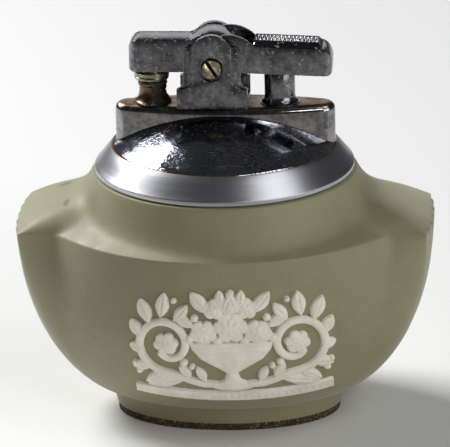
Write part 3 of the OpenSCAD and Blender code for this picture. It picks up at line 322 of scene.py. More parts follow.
def felt():
    s = Shader("felt")
    fibre = s.noise(0.35, s.stretched(1, 1, 3), detail=4.0, rough=0.7)
    patch = s.noise(4.0)
    grit = s.noise(0.42, detail=1.0)
    colour = s.mix(s.ramp(patch, 0.35, 0.65), (56, 46, 33), (32, 27, 21))
    colour = s.mix(s.times(s.ramp(fibre, 0.45, 0.7), 0.75), colour, (112, 94, 64))
    colour = s.mix(s.ramp(grit, 0.64, 0.7), colour, (196, 160, 92))
    return s.surface(colour, s.blend(fibre, 0.9, 1.0), fibre, 0.25)


def brushed_collar():
    s = Shader("brushed_collar")
    lines = s.noise(1, s.ringed(0, 3.0, 14.0, 14.0), rough=0.65)
    broad = s.noise(1, s.ringed(0, 2.0, 1.6, 1.6), detail=2.0)
    stain = s.ramp(s.noise(1.1, detail=4.0, rough=0.7), 0.62, 0.75)
    colour = s.mix(s.ramp(lines), (172, 173, 179), (186, 187, 193))
    colour = s.mix(s.times(stain, 0.35), colour, (124, 118, 108))
    x, y, _ = s.split()
    wander = s.times(s.noise(1.6), 0.4 * MM)
    worn = s.ramp(s.minus(s.length(x, y), wander), (PLATE_R + 0.34) * MM, (PLATE_R + 0.2) * MM)
    colour = s.mix(s.times(worn, 0.85), colour, (168, 132, 82))
    rough = s.plus(s.blend(s.ramp(lines), 0.25, 0.31), s.times(broad, 0.06))
    return s.surface(colour, rough, lines, 0.0012, Metallic=1.0)


def bright_chrome():
    s = Shader("bright_chrome")
    pits = s.noise(0.55, detail=2.0, rough=0.6)
    haze = s.noise(0.22, detail=2.0, rough=0.7)
    blotch = s.blend(s.ramp(s.noise(5.5, rough=0.6), 0.4, 0.6), 0.3, 1.0)
    mark = scratches(s, (18, 63, 118, 152), 0.09, 7.0, 0.24)
    pitted = s.times(s.ramp(pits, 0.47, 0.58), blotch)
    colour = s.mix(pitted, (196, 199, 208), (90, 99, 124))
    colour = s.mix(s.times(mark, 0.7), colour, (226, 226, 228))
    rough = s.largest(s.blend(pitted, 0.05, 0.2), s.times(mark, 0.34))
    height = s.minus(s.times(pitted, -0.7), s.times(mark, 0.4))
    height = s.plus(height, s.times(haze, 0.16))
    return s.surface(colour, rough, height, 0.008, Metallic=1.0)


def aged_chrome(name, dark, light, pit, pit_share, gloss):
    """Chrome gone dark with age, with light pits where it has broken through."""
    s = Shader(name)
    cloud = s.noise(5.0, detail=4.0, rough=0.65)
    fine = s.noise(0.5, detail=4.0, rough=0.7)
    mottle = s.noise(1.1, detail=4.0, rough=0.75)
    spots = s.ramp(s.noise(1.15, s.stretched(1, 1, 1, turn=(30, 10, 50)), detail=2.0, rough=0.55),
                   1 - pit_share, 1.07 - pit_share)
    mark = scratches(s, (25, 80, 140), 0.06, 4.0, 0.26)
    tone = s.plus(s.times(s.ramp(cloud), 0.5), s.times(s.ramp(mottle, 0.32, 0.68), 0.5))
    colour = s.mix(tone, dark, light)
    colour = s.mix(s.times(spots, 0.65), colour, pit)
    colour = s.mix(s.times(mark, 0.35), colour, pit)
    rough = s.blend(spots, s.blend(s.ramp(fine, 0.3, 0.75), gloss, gloss + 0.12), 0.5)
    height = s.plus(s.times(fine, 0.5), s.times(spots, 0.5))
    s.surface(colour, rough, height, 0.012, Metallic=1.0)
    return s


def tarnished_chrome():
    """The deck: dark chrome walls under a brown, sooty top."""
    s = aged_chrome("tarnished_chrome", (92, 92, 98), (182, 180, 180), (170, 158, 138),
                    pit_share=0.33, gloss=0.05)
    base = s.bsdf.inputs["Base Color"].links[0].from_socket
    rough = s.bsdf.inputs["Roughness"].links[0].from_socket
    streak = s.ramp(s.noise(1, s.stretched(110, 110, 320), rough=0.6), 0.36, 0.66)
    base = s.mix(s.times(streak, 0.4), base, (56, 55, 60))
    patch = s.noise(2.6, detail=5.0, rough=0.7)
    brown = s.mix(s.ramp(patch, 0.35, 0.68), (96, 68, 44), (172, 146, 114))
    brown = s.mix(s.ramp(s.noise(0.8), 0.55, 0.8), brown, (38, 26, 18))
    top = s.times(s.ramp(s.facing_up(), 0.45, 0.95), s.ramp(patch, 0.12, 0.32))
    s.set(Base_Color=s.mix(s.times(top, 0.9), base, brown))
    s.set(Roughness=s.blend(top, rough, 0.36))
    return s.material


def sooty_brass():
    """The wick tube: browned brass, black on its side towards the cheek, partly from a crust of soot and
    partly as painted shade.
    """
    s = Shader("sooty_brass")
    x, _, _ = s.split()
    patch = s.noise(1.6, detail=5.0, rough=0.7)
    crust = s.noise(0.35, detail=4.0, rough=0.75)
    # Painted shade with soot: the side towards the cheek is coloured black, in part a real crust and in part
    # the shade that falls there.
    right = s.ramp(x, (WICK_X + SOOT_AND_SHADE_FROM) * MM, (WICK_X + SOOT_AND_SHADE_FULL) * MM)
    soot_and_shade = s.ramp(s.plus(s.times(right, 0.45), patch), 0.55, 0.95)
    colour = s.mix(s.ramp(patch), (118, 99, 82), (84, 69, 56))
    colour = s.mix(soot_and_shade, colour, (30, 23, 18))
    height = s.times(crust, s.ramp(soot_and_shade, 0.1, 0.9))
    return s.surface(colour, s.blend(soot_and_shade, 0.26, 0.7), height, 0.16, Metallic=s.blend(soot_and_shade, 1.0, 0.25))


def worn_nickel():
    s = Shader("worn_nickel")
    patch = s.noise(0.9, detail=4.0, rough=0.65)
    fine = s.noise(0.2)
    colour = s.mix(s.ramp(patch, 0.35, 0.68), (170, 167, 150), (118, 112, 92))
    colour = s.mix(s.times(s.ramp(fine, 0.55, 0.8), 0.4), colour, (70, 58, 44))
    rough = s.blend(s.ramp(patch), 0.22, 0.42)
    return s.surface(colour, rough, fine, 0.02, Metallic=1.0)


def screw_metal():
    """Worn brassy steel, browned round its rim, with painted shade in its slot that colours it black."""
    s = Shader("screw_metal")
    x, y, z = s.split()
    patch = s.noise(0.8, detail=4.0, rough=0.7)
    fine = s.noise(0.22)
    x = s.minus(x, PIVOT[0] * MM)
    z = s.minus(z, PIVOT[1] * MM)
    far = s.length(x, z)
    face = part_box("pivot_screw")[0][1]
    colour = s.mix(s.ramp(patch, 0.34, 0.66), (196, 188, 164), (134, 120, 92))
    rim = s.plus(far, s.times(patch, 0.3 * MM))
    rim = s.ramp(rim, (SCREW_HEAD_R - 0.35) * MM, (SCREW_HEAD_R - 0.05) * MM)
    colour = s.mix(s.times(rim, 0.8), colour, (84, 60, 36))
    # Painted shade: inside the slot, behind the head's face, the colour goes near black and dull.
    slot_shade = s.ramp(y, face + 0.1 * MM, face + 0.3 * MM)
    slot_shade = s.times(slot_shade, s.ramp(far, (SCREW_HEAD_R - 0.1) * MM, (SCREW_HEAD_R - 0.3) * MM))
    colour = s.mix(slot_shade, colour, (26, 21, 17))
    rough = s.blend(s.ramp(patch), 0.24, 0.42)
    rough = s.blend(slot_shade, rough, 0.8)
    return s.surface(colour, rough, fine, 0.02, Metallic=s.blend(slot_shade, 1.0, 0.1))


def plain_brass():
    s = Shader("plain_brass")
    lines = s.noise(1, s.ringed(0, 3.0, 5.0, 9.0))
    patch = s.noise(6.0, detail=4.0, rough=0.6)
    colour = s.mix(s.ramp(patch, 0.35, 0.7), (206, 178, 112), (162, 130, 76))
    colour = s.mix(s.times(s.ramp(lines, 0.5, 0.8), 0.3), colour, (120, 96, 58))
    return s.surface(colour, s.blend(lines, 0.2, 0.38), lines, 0.008, Metallic=1.0)


def dull_steel(name, dark, light):
    s = Shader(name)
    fine = s.noise(0.3, detail=4.0, rough=0.7)
    patch = s.noise(1.8)
    colour = s.mix(s.ramp(patch), dark, light)
    colour = s.mix(s.times(s.ramp(fine, 0.55, 0.8), 0.4), colour, (92, 72, 52))
    return s.surface(colour, s.blend(fine, 0.28, 0.5), fine, 0.02, Metallic=1.0)


def flint_alloy():
    s = Shader("flint_alloy")
    grain = s.noise(0.3, detail=4.0, rough=0.7)
    colour = s.mix(grain, (58, 56, 58), (104, 100, 98))
    return s.surface(colour, s.blend(grain, 0.6, 0.85), grain, 0.04)


def cotton():
    s = Shader("cotton")
    fibre = s.noise(0.5, s.stretched(1, 1, 0.35), detail=5.0, rough=0.7)
    _, _, z = s.split()
    singe = s.ramp(z, SINGE_FROM_Z * MM, SINGE_FULL_Z * MM)
    colour = s.mix(s.ramp(fibre, 0.35, 0.7), (226, 218, 198), (198, 188, 164))
    colour = s.mix(s.times(singe, 0.85), colour, (48, 38, 28))
    return s.surface(colour, s.blend(fibre, 0.88, 0.98), fibre, 0.2)


def soft_rubber(name, dark, light):
    s = Shader(name)
    fine = s.noise(0.4, detail=4.0, rough=0.6)
    colour = s.mix(fine, dark, light)
    return s.surface(colour, s.blend(fine, 0.6, 0.82), fine, 0.03)


MATERIALS = {
    "stoneware": stoneware(), "bisque": bisque(), "felt": felt(), "collar_metal": brushed_collar(),
    "bright_chrome": bright_chrome(),
    "worn_chrome": aged_chrome("worn_chrome", (70, 70, 77), (148, 148, 154), (176, 174, 169),
                               pit_share=0.4, gloss=0.12).material,
    "tarnished_chrome": tarnished_chrome(), "sooty_brass": sooty_brass(), "nickel": worn_nickel(),
    "plain_brass": plain_brass(),
    "spring_steel": dull_steel("spring_steel", (150, 150, 154), (186, 186, 190)),
    "tool_steel": dull_steel("tool_steel", (84, 82, 80), (124, 120, 116)),
    "flint": flint_alloy(), "cotton": cotton(),
    "seal": soft_rubber("seal_rubber", (52, 40, 32), (84, 68, 54)),
    "gasket": soft_rubber("gasket_rubber", (26, 26, 26), (46, 46, 46)),
    "screw_metal": screw_metal(),
}
SLOT_OF = {p["node"]: p["material_slot"] for p in frame["record"]["subparts"]}
BODY_OF = {node: body for body, nodes in frame["record"]["behaviour"]["bodies"].items() for node in nodes}


# Mesh helpers
def mesh_of(name, vertices, faces):
    """A mesh from vertices in millimetres."""
    mesh = bpy.data.meshes.new(name)
    mesh.from_pydata((np.asarray(vertices, float) * MM).tolist(), [], [list(map(int, f)) for f in faces])
    return mesh


def new_piece(name, vertices, faces, slot, node, crease=40):
    """A piece in the frame's place, from vertices in millimetres, that stands for a CAD node."""
    mesh = mesh_of(name, vertices, faces)
    mesh.validate()
    mesh.update()
    piece = add_object(name, mesh)
    finish_piece(piece, slot, node, crease)
    return piece


def smooth(mesh, crease):
    mesh.shade_smooth()
    mesh.set_sharp_from_angle(angle=math.radians(crease))


def paint(mesh, look):
    mesh.materials.clear()
    mesh.materials.append(MATERIALS[look])


def finish_piece(piece, slot, node, crease):
    smooth(piece.data, crease)
    paint(piece.data, slot)
    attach(piece, BODY_OF[node])
    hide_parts(node)


def ring_faces(rings, around, closed=False):
    """Quads between equal rings of points, in order."""
    count = rings if closed else rings - 1
    k, i = np.meshgrid(np.arange(count), np.arange(around), indexing="ij")
    j = (i + 1) % around
    n = (k + 1) % rings
    return np.stack([k * around + i, k * around + j, n * around + j, n * around + i], -1).reshape(-1, 4)


def grid_faces(rows, cols):
    """Quads of a sheet of rows times cols cells."""
    k, i = np.meshgrid(np.arange(rows), np.arange(cols), indexing="ij")
    corner = (k * (cols + 1) + i).ravel()
    return np.stack([corner, corner + 1, corner + cols + 2, corner + cols + 1], -1)


def mirrored(quarter):
    """A whole ring of points from its quarter, which runs from the front middle to the right middle."""
    flip = np.ones((3, quarter.shape[1]))
    flip[0, 1] = flip[1, 0] = flip[2, 0] = flip[2, 1] = -1
    there, back = quarter[:-1], quarter[:0:-1]
    return np.concatenate([there * flip[0], back, there * flip[1], back * flip[2]])


def turned(profile, centre, around):
    """Rings of points for a closed outline of (radius, height) turned about a vertical axis."""
    turn = np.arange(around) * 2 * np.pi / around
    return [
        np.stack([centre[0] + r * np.cos(turn), centre[1] + r * np.sin(turn), np.full(around, z)], -1)
        for r, z in profile
    ]


def lathe(name, profile, slot, node, around, crease=40, centre=(0, 0)):
    """Turns a closed outline of (radius, height). It keeps clear of radius 0."""
    rings = turned(profile, centre, around)
    faces = ring_faces(len(rings), around, closed=True)
    return new_piece(name, np.concatenate(rings), faces, slot, node, crease)


def capped(rings):
    """Vertices and faces of a stack of rings, closed with a fan at each end."""
    around = len(rings[0])
    vertices = np.concatenate(list(rings) + [[np.mean(rings[0], 0)], [np.mean(rings[-1], 0)]])
    last = len(rings) * around
    faces = ring_faces(len(rings), around).tolist()
    for i in range(around):
        j = (i + 1) % around
        faces.append([last, j, i])
        faces.append([last + 1, last - around + i, last - around + j])
    return vertices, faces


def clean_copy(node):
    """A copy of a CAD node's mesh with its split corners joined and its flat triangles merged."""
    source = frame["nodes"][node]
    bm = bmesh.new()
    bm.from_mesh(source.data)
    bmesh.ops.remove_doubles(bm, verts=bm.verts, dist=WELD_REACH * MM)
    bmesh.ops.dissolve_limit(bm, angle_limit=math.radians(FLAT_ANGLE), verts=bm.verts, edges=bm.edges)
    return bm


def edged(node, width=FINE_EDGE):
    """The CAD node's own shape with its sharp edges worn round."""
    bm = clean_copy(node)
    mesh = bpy.data.meshes.new(node + "_worn")
    bm.to_mesh(mesh)
    bm.free()
    piece = add_object(node + "_worn", mesh)
    bevel = piece.modifiers.new("edges", "BEVEL")
    bevel.width = width * MM
    bevel.segments = BEVEL_SEGMENTS
    bevel.limit_method = "ANGLE"
    bevel.angle_limit = math.radians(BEVEL_ANGLE)
    apply_modifiers(piece)
    finish_piece(piece, SLOT_OF[node], node, crease=30)
    return piece


def apply_modifiers(piece):
    graph = bpy.context.evaluated_depsgraph_get()
    graph.update()
    mesh = bpy.data.meshes.new_from_object(piece.evaluated_get(graph))
    piece.modifiers.clear()
    piece.data = mesh


def cut_out(piece, vertices, faces, crease):
    """Takes a closed shape, in millimetres, out of a piece."""
    cutter = add_object("cutter", mesh_of("cutter", vertices, faces))
    cut = piece.modifiers.new("hole", "BOOLEAN")
    cut.operation = "DIFFERENCE"
    cut.solver = "EXACT"
    cut.object = cutter
    apply_modifiers(piece)
    bpy.data.objects.remove(cutter)
    smooth(piece.data, crease)


def drill(piece, holes, low, high):
    """Cuts round upright holes, each (x, radius) on the middle line, through a piece."""
    for x, r in holes:
        vertices, faces = capped(turned([(r, low), (r, high)], (x, 0), HOLE_TURN))
        cut_out(piece, vertices, faces, crease=40)


# Jar
def bowl_fall(z):
    return np.clip((RIDGE_Z - z) / BOWL_H, 0, 1)


def bowl_law(z):
    return np.clip(1 - bowl_fall(z) ** BOWL_ROUND, 0, None) ** BOWL_POWER


def foot_share(z):
    return np.maximum(0, (CREASE_Z - z) / FOOT_H)


def jar_half_w(z):
    return FOOT_HALF_W + (EAR_REACH - FOOT_HALF_W) * bowl_law(z) - FOOT_TAPER * foot_share(z)


def jar_half_d(z):
    return FOOT_HALF_D + (BOWL_HALF_D - FOOT_HALF_D) * bowl_law(z) - FOOT_TAPER * foot_share(z)


def eared_depth(x):
    bowl = BOWL_HALF_D * np.sqrt(np.clip(1 - (x / BOWL_HALF_W) ** 2, 0, None))
    return (bowl ** BLEND_POWER + EAR_HALF_D ** BLEND_POWER) ** (1 / BLEND_POWER)


def depth_share(u, z):
    eared = eared_depth(u * EAR_REACH) / eared_depth(0)
    oval = np.clip(1 - u ** OVAL_POWER, 0, None) ** (1 / OVAL_POWER)
    m = FOOT_BLEND * bowl_fall(z) ** OVAL_ONSET
    return (1 - m) * eared + m * oval


def jar_quarter(z):
    """The jar's outline at a height, from its front middle to its side middle."""
    w, d = jar_half_w(z), jar_half_d(z)
    u = np.sin(np.linspace(0, np.pi / 2, SWEEP_STEPS + 1))
    k = np.linspace(0, 1, END_STEPS + 1)[1:]
    end_d = d * depth_share(1.0, z)
    x = np.concatenate([w * u, w + EAR_BULGE * (1 - (1 - k) ** BULGE_POWER) * end_d / EAR_HALF_D])
    y = np.concatenate([d * depth_share(u, z), end_d * (1 - k)])
    return np.stack([x, y], -1)


def around_jar(quarter, z, flute):
    """A whole ring from one quarter and its heights. The ear ends are scalloped by flute millimetres."""
    share = np.zeros(len(quarter))
    end_y = quarter[SWEEP_STEPS, 1]
    share[SWEEP_STEPS:] = quarter[SWEEP_STEPS:, 1] / end_y
    cut = np.where(share > 0, 0.5 - 0.5 * np.cos(np.pi * FLUTES * share), 0)
    x = quarter[:, 0] - flute * cut
    return mirrored(np.stack([x, quarter[:, 1], np.broadcast_to(z, len(quarter))], -1))


RIDGE_QUARTER = jar_quarter(RIDGE_Z)
RIDGE_FAR = np.hypot(RIDGE_QUARTER[:, 0], RIDGE_QUARTER[:, 1])
RIDGE_ANGLE = np.degrees(np.arctan2(RIDGE_QUARTER[:, 1], RIDGE_QUARTER[:, 0]))
RIDGE_SPAN = -np.gradient(RIDGE_ANGLE) * 2


def soft_far(spread):
    """The ridge's reach, evened out over an angle so that the ears' corners melt away."""
    if spread < 0.05:
        return RIDGE_FAR
    a, b = RIDGE_ANGLE[:, None], RIDGE_ANGLE[None, :]
    weight = RIDGE_SPAN * (np.exp(-((a - b) / spread) ** 2) + np.exp(-((a + b) / spread) ** 2)
                           + np.exp(-((180 - a - b) / spread) ** 2))
    return weight @ RIDGE_FAR / weight.sum(1)


def shoulder_ring(s):
    far = soft_far(SOFTEN_ANGLE * (1 - s) ** SOFTEN_POWER)
    gap = (far - NECK_R) / (EAR_REACH + EAR_BULGE - NECK_R)
    crown = CROWN_H * gap
    r = NECK_R + (far - NECK_R) * s
    steep = COVE_POWER + COVE_EAR_POWER * gap
    z = RIDGE_Z + crown * (1 - s * s) + (SHOULDER_H - crown) * (1 - s) ** steep
    quarter = RIDGE_QUARTER * (r / RIDGE_FAR)[:, None]
    return around_jar(quarter, z, FLUTE_DEPTH * s ** FLUTE_TOP_POWER)


def wall_ring(z):
    near_ridge = np.clip(1 - (RIDGE_Z - z) / FLUTE_FADE, 0, 1)
    return around_jar(jar_quarter(z), z, FLUTE_DEPTH * near_ridge ** FLUTE_WALL_POWER)


def add_jar():
    """The jar, in rings from its foot up over the ridge to the neck and down inside to the well's floor."""
    rings = [wall_ring(z) for z in np.linspace(PAD_H, CREASE_Z - 0.25, FOOT_RINGS)]
    climb = np.sin(np.linspace(0.02, np.pi / 2, WALL_RINGS))
    rings += [wall_ring(CREASE_Z + BOWL_H * t) for t in climb if BOWL_H * (1 - t) > RIDGE_ROUND]
    low, edge = wall_ring(RIDGE_Z - RIDGE_ROUND), wall_ring(RIDGE_Z)
    high = shoulder_ring(1 - RIDGE_STEP)
    reach = np.linalg.norm(high - edge, axis=1)[:, None]
    high = edge + (high - edge) * np.minimum(1, RIDGE_ROUND / reach)
    for t in np.linspace(0, 1, EDGE_RINGS):
        rings.append(low * (1 - t) ** 2 + edge * 2 * t * (1 - t) + high * t * t)
    inward = (1 - RIDGE_STEP) * np.linspace(0, 1, SHOULDER_RINGS)[1:] ** 1.05
    rings += [shoulder_ring(s) for s in 1 - RIDGE_STEP - inward]
    way = RIDGE_QUARTER / RIDGE_FAR[:, None]
    bore, floor_z = SOCKET_R + RUN_GAP, CREASE_Z + JAR_FLOOR
    rings[-1] = around_jar(way * NECK_R, NECK_Z - 0.35, 0)
    inside = [(NECK_R - 0.1, NECK_Z - 0.1), (NECK_R - 0.35, NECK_Z), (bore + 0.4, NECK_Z)]
    inside += [(bore, NECK_Z - 0.4), (bore, NECK_Z - SOCKET_SEAT_H)]
    inside += [(jar_half_d(z) - JAR_WALL, z) for z in np.linspace(RIDGE_Z - 1, floor_z, WELL_RINGS)]
    inside += [(r, floor_z) for r in (8.0, 1.0)]
    rings += [around_jar(way * r, z, 0) for r, z in inside]
    vertices, faces = capped(rings)
    return new_piece("jar", vertices, faces, "stoneware", "ceramic_body")


# Relief: a footed bowl of flowers between leafy scrolls over a ground band, in shares of its height
RELIEF_W, RELIEF_H, RELIEF_LIFT, RELIEF_X = 47.0, 30.0, 5.0, 3.0
RELIEF_RISE, RELIEF_GRID, RELIEF_SINK = 1.1, 0.13, 0.4
RELIEF_END = RELIEF_W / RELIEF_H / 2
# x, z, turn, length, half width
LEAVES = (
    (0.36, 0.215, -14, 0.29, 0.055), (0.5, 0.27, -34, 0.19, 0.045), (0.6, 0.33, -12, 0.15, 0.05),
    (0.66, 0.44, 28, 0.12, 0.045), (0.675, 0.56, 62, 0.16, 0.048), (0.61, 0.69, 70, 0.2, 0.052),
    (0.52, 0.745, 98, 0.2, 0.052), (0.42, 0.72, 126, 0.17, 0.045), (0.2, 0.2, 62, 0.14, 0.035),
    (0.31, 0.24, 48, 0.13, 0.038), (0.07, 0.86, 84, 0.12, 0.04), (0.17, 0.8, 52, 0.2, 0.055),
    (0.27, 0.68, 28, 0.17, 0.045), (0.05, 0.8, 112, 0.17, 0.045),
)
# x, z, radius, petals, turn
FLOWERS = ((0, 0.68, 0.13, 6, 0), (0.205, 0.63, 0.105, 5, 20), (0.12, 0.83, 0.085, 5, 50),
           (0.49, 0.52, 0.095, 6, 10))
# x, z, radius
BERRIES = ((0.315, 0.575, 0.038), (0.1, 0.56, 0.04), (0.36, 0.36, 0.03), (0.3, 0.33, 0.024),
           (0, 0.84, 0.05), (0.27, 0.75, 0.03), (0, 0.95, 0.034), (0.42, 0.885, 0.022),
           (0.7, 0.26, 0.026), (0.735, 0.33, 0.02))
# Half width and height up the footed bowl, and x and z along the first part of a scroll's stem
DISH = ((0, 0.125), (0.15, 0.13), (0.15, 0.165), (0.06, 0.215), (0.042, 0.28), (0.12, 0.33), (0.235, 0.4),
        (0.295, 0.48), (0.31, 0.525), (0.31, 0.55), (0, 0.555))
STEM = ((0.13, 0.165), (0.22, 0.168), (0.32, 0.2), (0.42, 0.245))
SCROLL_R = 0.03
# How deep a point just outside the motifs is sunk, and how fast this grows with its distance
OUTSIDE, SINK_RATE = -0.02, 90


def hill(d):
    return np.sqrt(np.clip(1 - d * d, 0, 1))


def beyond(gap):
    """How far a point outside a motif is sunk, for its distance from the motif."""
    return np.minimum(-gap * SINK_RATE, OUTSIDE)


def leaf(x, z, x0, z0, turn, length, width):
    t = np.radians(turn)
    a = ((x - x0) * np.cos(t) + (z - z0) * np.sin(t)) / length
    b = ((z - z0) * np.cos(t) - (x - x0) * np.sin(t)) / width
    half = np.sin(np.pi * np.clip(a, 0, 1)) ** 0.75
    rise = 0.95 * hill(np.abs(b) / np.maximum(half, 1e-3))
    rise -= 0.26 * np.exp(-(b / 0.13) ** 2)
    rise -= 0.07 * (0.5 - 0.5 * np.cos(2 * np.pi * (a * 6 - np.abs(b) * 1.5)))
    gap = np.maximum((np.abs(b) - half) * width, np.maximum(-a, a - 1) * length)
    return np.where((gap < 0) & (half > 0.1), np.maximum(rise, 0.12), beyond(np.maximum(gap, 0)))


def berry(x, z, x0, z0, r):
    d = np.hypot(x - x0, z - z0) / r
    return np.where(d < 1, hill(d), beyond((d - 1) * r))


def flower(x, z, x0, z0, r, petals, turn):
    d = np.hypot(x - x0, z - z0) / r
    a = np.arctan2(z - z0, x - x0) + np.radians(turn)
    lobe = np.abs(np.cos(a * petals / 2))
    rim = 0.8 + 0.2 * lobe ** 0.7
    outer = 0.42 + 0.5 * hill(np.minimum(d / rim, 1)) * (0.55 + 0.45 * lobe ** 0.5)
    turned_lobe = np.abs(np.cos((a + np.pi / petals) * petals / 2))
    inner_rim = 0.48 + 0.1 * turned_lobe
    inner = 0.72 + 0.42 * hill(np.minimum(d / inner_rim, 1)) * (0.5 + 0.5 * turned_lobe ** 0.5)
    height = np.where(d < inner_rim, np.maximum(inner, outer), outer)
    height = np.where(d < 0.2, np.maximum(height, 1.0 + 0.15 * hill(d / 0.2)), height)
    return np.where(d < rim, height, beyond((d - rim) * r))


def scroll(x, z):
    """A stem from the bowl's foot that winds into a ring, round and slightly ridged."""
    t = np.linspace(0, 1, 40)
    a = np.radians(388 * t - 80)
    r = np.minimum(0.215, 0.25 - 0.17 * t)
    path = list(STEM) + list(zip(0.48 + r * np.cos(a), 0.505 + 1.12 * r * np.sin(a)))
    best = np.full(x.shape, 9.0)
    for (x0, z0), (x1, z1) in zip(path, path[1:]):
        dx, dz = x1 - x0, z1 - z0
        s = np.clip(((x - x0) * dx + (z - z0) * dz) / (dx * dx + dz * dz), 0, 1)
        best = np.minimum(best, np.hypot(x - x0 - s * dx, z - z0 - s * dz))
    d = best / SCROLL_R
    return np.where(d < 1, 0.78 * hill(np.minimum(d, 1)), beyond(best - SCROLL_R))


def dish(x, z):
    half = np.interp(z, [p[1] for p in DISH], [p[0] for p in DISH])
    low, high = DISH[0][1], DISH[-1][1]
    half = np.where((z < low) | (z > high), 0, half)
    d = np.clip(np.abs(x) / np.maximum(half, 1e-3), 0, 1)
    ribs = 0.12 * np.abs(np.sin(np.arcsin(d) * 7))
    belly = np.clip((z - 0.33) / 0.02, 0, 1) * np.clip((0.475 - z) / 0.02, 0, 1)
    bands = sum(h * np.exp(-((z - at) / 0.011) ** 2)
                for at, h in ((0.54, 0.16), (0.485, 0.12), (0.27, 0.14), (0.15, 0.1)))
    rise = 1.15 * hill(d) - 0.12 + ribs * belly + bands
    gap = np.maximum(np.abs(x) - half, np.maximum(low - z, z - high))
    return np.where(gap < 0, np.maximum(rise, 0.15), beyond(np.maximum(gap, 0)))


def ground(x, z):
    v = z + 0.05 * (1 - (x / RELIEF_END) ** 2) - 0.1
    gap = np.maximum(np.abs(v) - 0.04, np.abs(x) - 0.94 * RELIEF_END)
    flat = 0.5 + 0.14 * np.exp(-((np.abs(v) - 0.03) / 0.007) ** 2)
    flat += 0.2 * np.exp(-(v / 0.014) ** 2) * (0.5 + 0.5 * np.cos(2 * np.pi * x / 0.05))
    return np.where(gap < 0, flat, beyond(np.maximum(gap, 0)))


def relief_share(x, z):
    half = np.abs(x)
    parts = [scroll(half, z), dish(half, z), ground(half, z)]
    parts += [leaf(half, z, *values) for values in LEAVES]
    parts += [flower(half, z, *values) for values in FLOWERS]
    parts += [berry(half, z, *values) for values in BERRIES]
    return np.max(parts, axis=0)


def front_depth(x, z):
    return jar_half_d(z) * depth_share(np.minimum(1, np.abs(x) / jar_half_w(z)), z)


def add_relief(name, node, turn):
    """The relief as a raised sheet on the bowl's front, or turned half round onto its back."""
    cols = int(RELIEF_W / RELIEF_GRID)
    rows = int(RELIEF_H / RELIEF_GRID)
    gx = np.linspace(-RELIEF_W / 2, RELIEF_W / 2, cols + 1)
    gz = np.linspace(0, RELIEF_H, rows + 1)
    x, z = np.meshgrid(gx, gz)
    share = relief_share(x / RELIEF_H, z / RELIEF_H)
    lift = np.where(share > 0, RELIEF_RISE * (0.3 + 0.7 * np.minimum(1.15, share)), np.maximum(share, -1))
    lift = np.clip(lift, -RELIEF_SINK, None)
    sx, sz = x + RELIEF_X, z + CREASE_Z + RELIEF_LIFT
    depth = front_depth(sx, sz)
    e = 0.5  # reach over which the bowl's slope is taken
    slope_x = (front_depth(sx + e, sz) - front_depth(sx - e, sz)) / (2 * e)
    slope_z = (front_depth(sx, sz + e) - front_depth(sx, sz - e)) / (2 * e)
    size = np.sqrt(slope_x ** 2 + 1 + slope_z ** 2)
    out = lift / size
    points = np.stack([sx - slope_x * out, -depth - out, sz - slope_z * out], -1).reshape(-1, 3)
    if turn:
        points[:, :2] *= -1
    quads = grid_faces(rows, cols)
    shown = (lift.ravel()[quads] > -RELIEF_SINK + 1e-6).any(1)
    used, quads = np.unique(quads[shown], return_inverse=True)
    return new_piece(name, points[used], quads.reshape(-1, 4), "bisque", node, crease=180)


# Round metal pieces
def arc(cx, cz, r, a0, a1, steps):
    t = np.radians(np.linspace(a0, a1, steps + 1))
    return list(zip(cx + r * np.cos(t), cz + r * np.sin(t)))


def add_collar():
    """The bevelled collar, with its rolled foot and the flange that the sleeve clamps."""
    collar_r, lip_r, lip_h, foot_r, flange_w, flange_t, nose_r = 29.7, 0.7, 1.4, 28.2, 3.5, 0.6, 0.35
    bore, ledge = PLATE_R + 0.1, PLATE_Z - PLATE_RIM_H - RUN_GAP
    inner, flange_z = SOCKET_R + RUN_GAP, NECK_Z + flange_t + RUN_GAP
    profile = [(inner, flange_z), (inner + flange_w, flange_z), (inner + flange_w, NECK_Z)]
    profile += [(foot_r, NECK_Z)]
    profile += arc(collar_r - lip_r, NECK_Z + lip_r, lip_r, -90, 0, 8)
    profile += arc(collar_r - nose_r, NECK_Z + lip_h - 0.1, nose_r, 8, 40, 4)
    low, high = np.array([collar_r, NECK_Z + lip_h]), np.array([bore + 0.35, PLATE_Z - 0.05])
    slope = (high - low) / np.linalg.norm(high - low)
    profile += [tuple(low + slope * t) for t in (0.35, 2.0, 4.0)] + [tuple(high - slope * 0.15)]
    profile += [(bore + 0.22, PLATE_Z + 0.02), (bore + 0.06, PLATE_Z - 0.04)]
    profile += [(bore, PLATE_Z - 0.2), (bore, ledge), (inner, ledge)]
    lathe("collar", profile, "collar_metal", "collar_ring", FINE_TURN, crease=28)


def flare(foot_r, waist_r, z, height, start, steps):
    """The hollow flare of a tube's foot, up to its waist."""
    t = np.radians(np.linspace(start, 90, steps))
    return list(zip(foot_r - (foot_r - waist_r) * np.sin(t), z + height * (1 - np.cos(t))))


def dome_height(r, radius):
    return DOME_Z + np.sqrt(radius ** 2 - r * r)


def add_dome():
    """The domed plate, with the holes that the deck hides."""
    rim_z, rim_r = PLATE_Z - PLATE_RIM_H, PLATE_R - 1.2
    inner = DOME_R - PLATE_T
    profile = [(r, dome_height(r, DOME_R)) for r in np.linspace(1.0, PLATE_R - 0.35, 60)]
    profile += [(PLATE_R - 0.08, PLATE_Z + 0.04), (PLATE_R, PLATE_Z - 0.1), (PLATE_R, rim_z + 0.15)]
    profile += [(PLATE_R - 0.15, rim_z), (rim_r, rim_z), (rim_r, dome_height(rim_r, inner))]
    profile += [(r, dome_height(r, inner)) for r in np.linspace(rim_r - 0.2, 1.0, 30)]
    piece = lathe("dome", profile, "bright_chrome", "dome_plate", FINE_TURN)
    drill(piece, TUBE_HOLES, PLATE_Z, DECK_Z)


